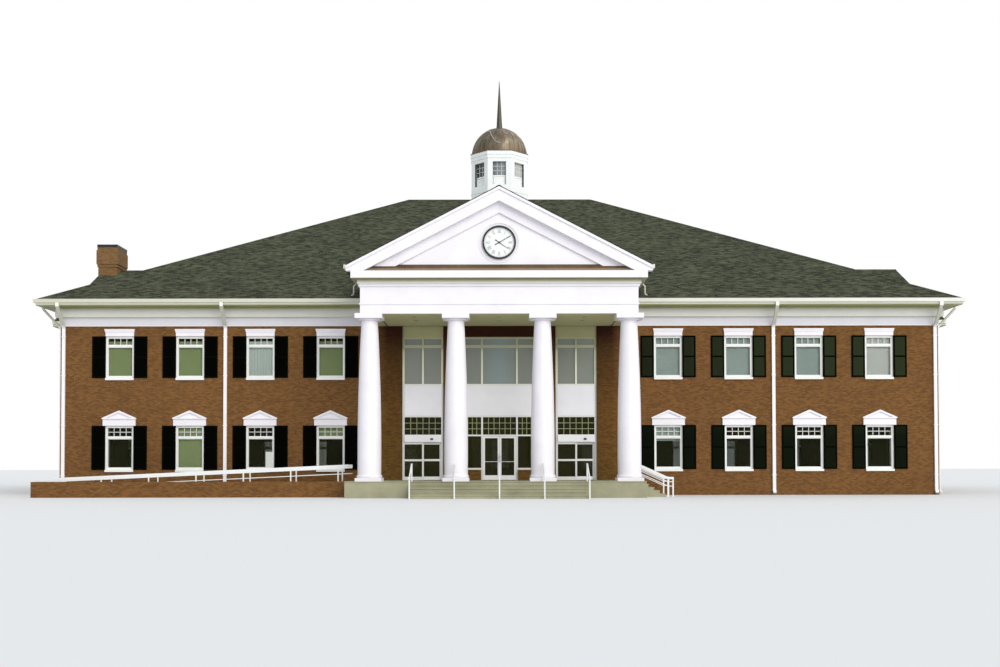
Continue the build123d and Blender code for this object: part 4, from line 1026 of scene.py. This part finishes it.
def clock_face():
    """Roman figures and minute marks on the dial."""
    low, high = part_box("clock_dial")
    centre = (low + high) / 2
    radius = (high.x - low.x) / 2
    base = Matrix.Translation((centre.x, low.y, centre.z)) @ Matrix.Rotation(math.pi / 2, 4, "X")
    raised = 0.0015
    foot = radius * 0.64
    height = radius * 0.2
    shape = Shape()
    for hour, text in enumerate("XII I II III IIII V VI VII VIII IX X XI".split()):
        shape.place = base @ Matrix.Rotation(-math.tau * hour / 12, 4, "Z")
        strokes, width = numeral_strokes(text)
        for low_x, high_x, wide in strokes:
            x0 = (low_x - width / 2) * height
            x1 = (high_x - width / 2) * height
            w = wide * height / 2
            shape.loops([[(x0 - w, foot, z), (x0 + w, foot, z), (x1 + w, foot + height, z),
                          (x1 - w, foot + height, z)] for z in (0.0, raised)])
        half = width * height / 2
        for edge in (foot - 0.01 * radius, foot + height):
            shape.box((-half, edge, 0.0), (half, edge + 0.012 * radius, raised))
    for minute in range(60):
        shape.place = base @ Matrix.Rotation(-math.tau * minute / 60, 4, "Z")
        half = 0.002 if minute % 5 else 0.004
        shape.box((-half, radius * 0.915, 0.0), (half, radius * 0.955, raised))
    piece("clock_figures", shape, NUMERAL)


# Rain pipes and the cupola

def spout_straps():
    """Straps that hold each downspout to the wall."""
    strap_heights = (0.55, 1.95, 3.35, 4.45)
    shape = Shape()
    for low, high in solids_of("downspouts"):
        shape.place = Facade(low, high, deep=True).place
        for z in strap_heights:
            shape.box((-0.06, -0.056, z), (0.06, 0.0, z + 0.022))
    piece("spout_straps", shape, WHITE, bevel=0.003)


def portico_spouts():
    """Short spouts from the portico's gutters, with a hooked foot over the main roof."""
    low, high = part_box("portico_roof")
    gutter_foot = high.z - ROOF_SLOPE * high.x - 0.1
    run = ((0.0, 0.01), (0.08, -0.085), (0.08, -0.27), (0.1, -0.312), (0.145, -0.325))
    shape = Shape()
    for side in (-1, 1):
        shape.tube([(side * (high.x + 0.028 + out), low.y + 2.52, gutter_foot + up) for out, up in run],
                   0.021)
    piece("portico_spouts", shape, painted("grey_spouts", (0.56, 0.55, 0.48)))


def conductor_cable():
    """A thin conductor that droops over the dome from the spire's foot.

    Its route is a row of (turn in degrees, share of the dome's height), laid on the dome's skin.
    """
    low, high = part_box("dome")
    mesh = nodes["dome"].data
    skin = BVHTree.FromPolygons([vertex.co for vertex in mesh.vertices],
                                [tuple(face.vertices) for face in mesh.polygons])
    route = ((-150, 0.93), (-117, 0.73), (-107, 0.53), (-101, 0.38), (-95, 0.29), (-86, 0.24))
    parts = 4
    radius = 0.013
    points = []
    for (turn_a, share_a), (turn_b, share_b) in zip(route, route[1:]):
        for k in range(parts):
            turn = math.radians(turn_a + (turn_b - turn_a) * k / parts)
            outward = Vector((math.cos(turn), math.sin(turn), 0))
            height = low.z + (high.z - low.z) * (share_a + (share_b - share_a) * k / parts)
            hit = skin.ray_cast(outward * 3 + Vector((0, 0, height)), -outward)[0]
            points.append(hit + outward * 0.012)
    shape = Shape()
    shape.tube(points, radius, 6)
    piece("conductor_cable", shape, painted("tan_cable", (0.44, 0.4, 0.32)))


def cupola_details():
    """The cupola's glazing bars, a moulding round each lower panel, and dark jambs."""
    apothem = 1.985 / 2
    niche_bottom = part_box("cupola_drum")[1].z - 1.196
    window_bottom = niche_bottom + 0.345
    top = window_bottom + 0.48
    recess = 0.085
    half = 0.229
    jamb = 0.235
    liner = 0.003
    bar = 0.007
    moulding = 0.014
    bars = Shape()
    liners = Shape()
    for i in range(8):
        bars.place = liners.place = turned(math.tau * i / 8, apothem)
        front = recess - 0.004
        back = recess + 0.01
        for k in (1, 2):
            x = -half + 2 * half * k / 3
            bars.box((x - bar, front, window_bottom + 0.006), (x + bar, back, top - 0.006))
            z = window_bottom + (top - window_bottom) * k / 3
            bars.box((-half, front, z - bar), (half, back, z + bar))
        edge = half - 0.03
        bars.border((-edge, recess - 0.012, niche_bottom + 0.045),
                    (edge, recess, window_bottom - 0.035), moulding)
        for side in (-1, 1):
            x0, x1 = sorted((side * jamb, side * (jamb - liner)))
            liners.box((x0, 0.004, niche_bottom), (x1, recess, top))
    piece("cupola_bars", bars, FRAME_WHITE)
    piece("cupola_liners", liners, DARK_LINER)


# Steps

def step_nosings():
    """A nosing that overhangs each riser of both flights, and the podium's edge."""
    low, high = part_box("portico_podium")
    side, front = sorted(solids_of("entrance_steps"), key=lambda box: box[1].x - box[0].x)
    risers = 5
    rise = high.z / risers
    front_going = (low.y - front[0].y) / (risers - 1)
    side_going = (side[1].x - high.x) / (risers - 1)
    out = 0.016
    depth = 0.022
    shape = Shape()
    shape.box((low.x, low.y - out, high.z - depth), (high.x, low.y, high.z))
    for i in range(1, risers):
        z = high.z - rise * i
        y = low.y - front_going * i
        x = high.x + side_going * i
        shape.box((front[0].x, y - out, z - depth), (front[1].x, y, z))
        shape.box((x, side[0].y, z - depth), (x + out, side[1].y, z))
    piece("step_nosings", shape, CONCRETE, bevel=0.005)


# Stage, light and camera

def stage():
    """A pale floor, and a white surround that lights the object with a plain sky."""
    bpy.ops.mesh.primitive_plane_add(size=600)
    ground = bpy.context.object
    ground.name = "stage_floor"
    paint = Paint("stage_white", roughness=0.9, specular=0.2)
    paint.color((*grey(0.78), 1))
    ground.data.materials.append(paint.material)

    scene.world = bpy.data.worlds.new("surround")
    sky = Nodes(scene.world)
    ambient = sky.tree.nodes["Background"]
    sky.put(ambient, {"Color": (0.9, 0.95, 1.0, 1), "Strength": 0.8})
    seen = sky.add("Background", {"Color": (1, 1, 1, 1)})
    ray = sky.add("LightPath", {}).outputs
    either = sky.math("MAXIMUM", ray["Is Camera Ray"], ray["Is Glossy Ray"])
    mixed = sky.add("MixShader", {0: either, 1: ambient.outputs[0], 2: seen.outputs[0]})
    sky.put(sky.tree.nodes["World Output"], {"Surface": mixed.outputs[0]})


def lights():
    """A broad soft key from the right, high in front, as the photograph's sun stands."""
    data = bpy.data.lights.new("key", "SUN")
    data.energy = 2.05
    data.angle = math.radians(50)
    data.color = (1.0, 0.97, 0.92)
    key = bpy.data.objects.new("key", data)
    key.rotation_euler = Vector((-0.55, 0.85, -0.5)).to_track_quat("-Z", "Y").to_euler()
    scene.collection.objects.link(key)


def camera():
    """The photograph's view: eye height before the middle of the front."""
    sensor = 36.0
    data = bpy.data.cameras.new("view")
    data.sensor_width = sensor
    data.lens = sensor * 1.164
    data.shift_x = -0.0006
    data.shift_y = 0.1035
    data.clip_end = 2000
    eye = bpy.data.objects.new("view", data)
    eye.location = (0.03, -41.65, 0.8)
    tilt = math.radians(90 + 1.46)
    roll = math.radians(-0.08)
    eye.rotation_euler = (Matrix.Rotation(tilt, 3, "X") @ Matrix.Rotation(roll, 3, "Z")).to_euler()
    scene.collection.objects.link(eye)
    scene.camera = eye


dress_nodes()
all_windows = windows()
glazing_bars(all_windows)
window_beads(all_windows)
blinds(all_windows)
shutter_louvres()
roofs()
downlights()
soffits()
entrance_bars()
entrance_sheets()
push_bars()
lintel_soldiers()
clock_face()
spout_straps()
portico_spouts()
conductor_cable()
cupola_details()
step_nosings()
stage()
lights()
camera()
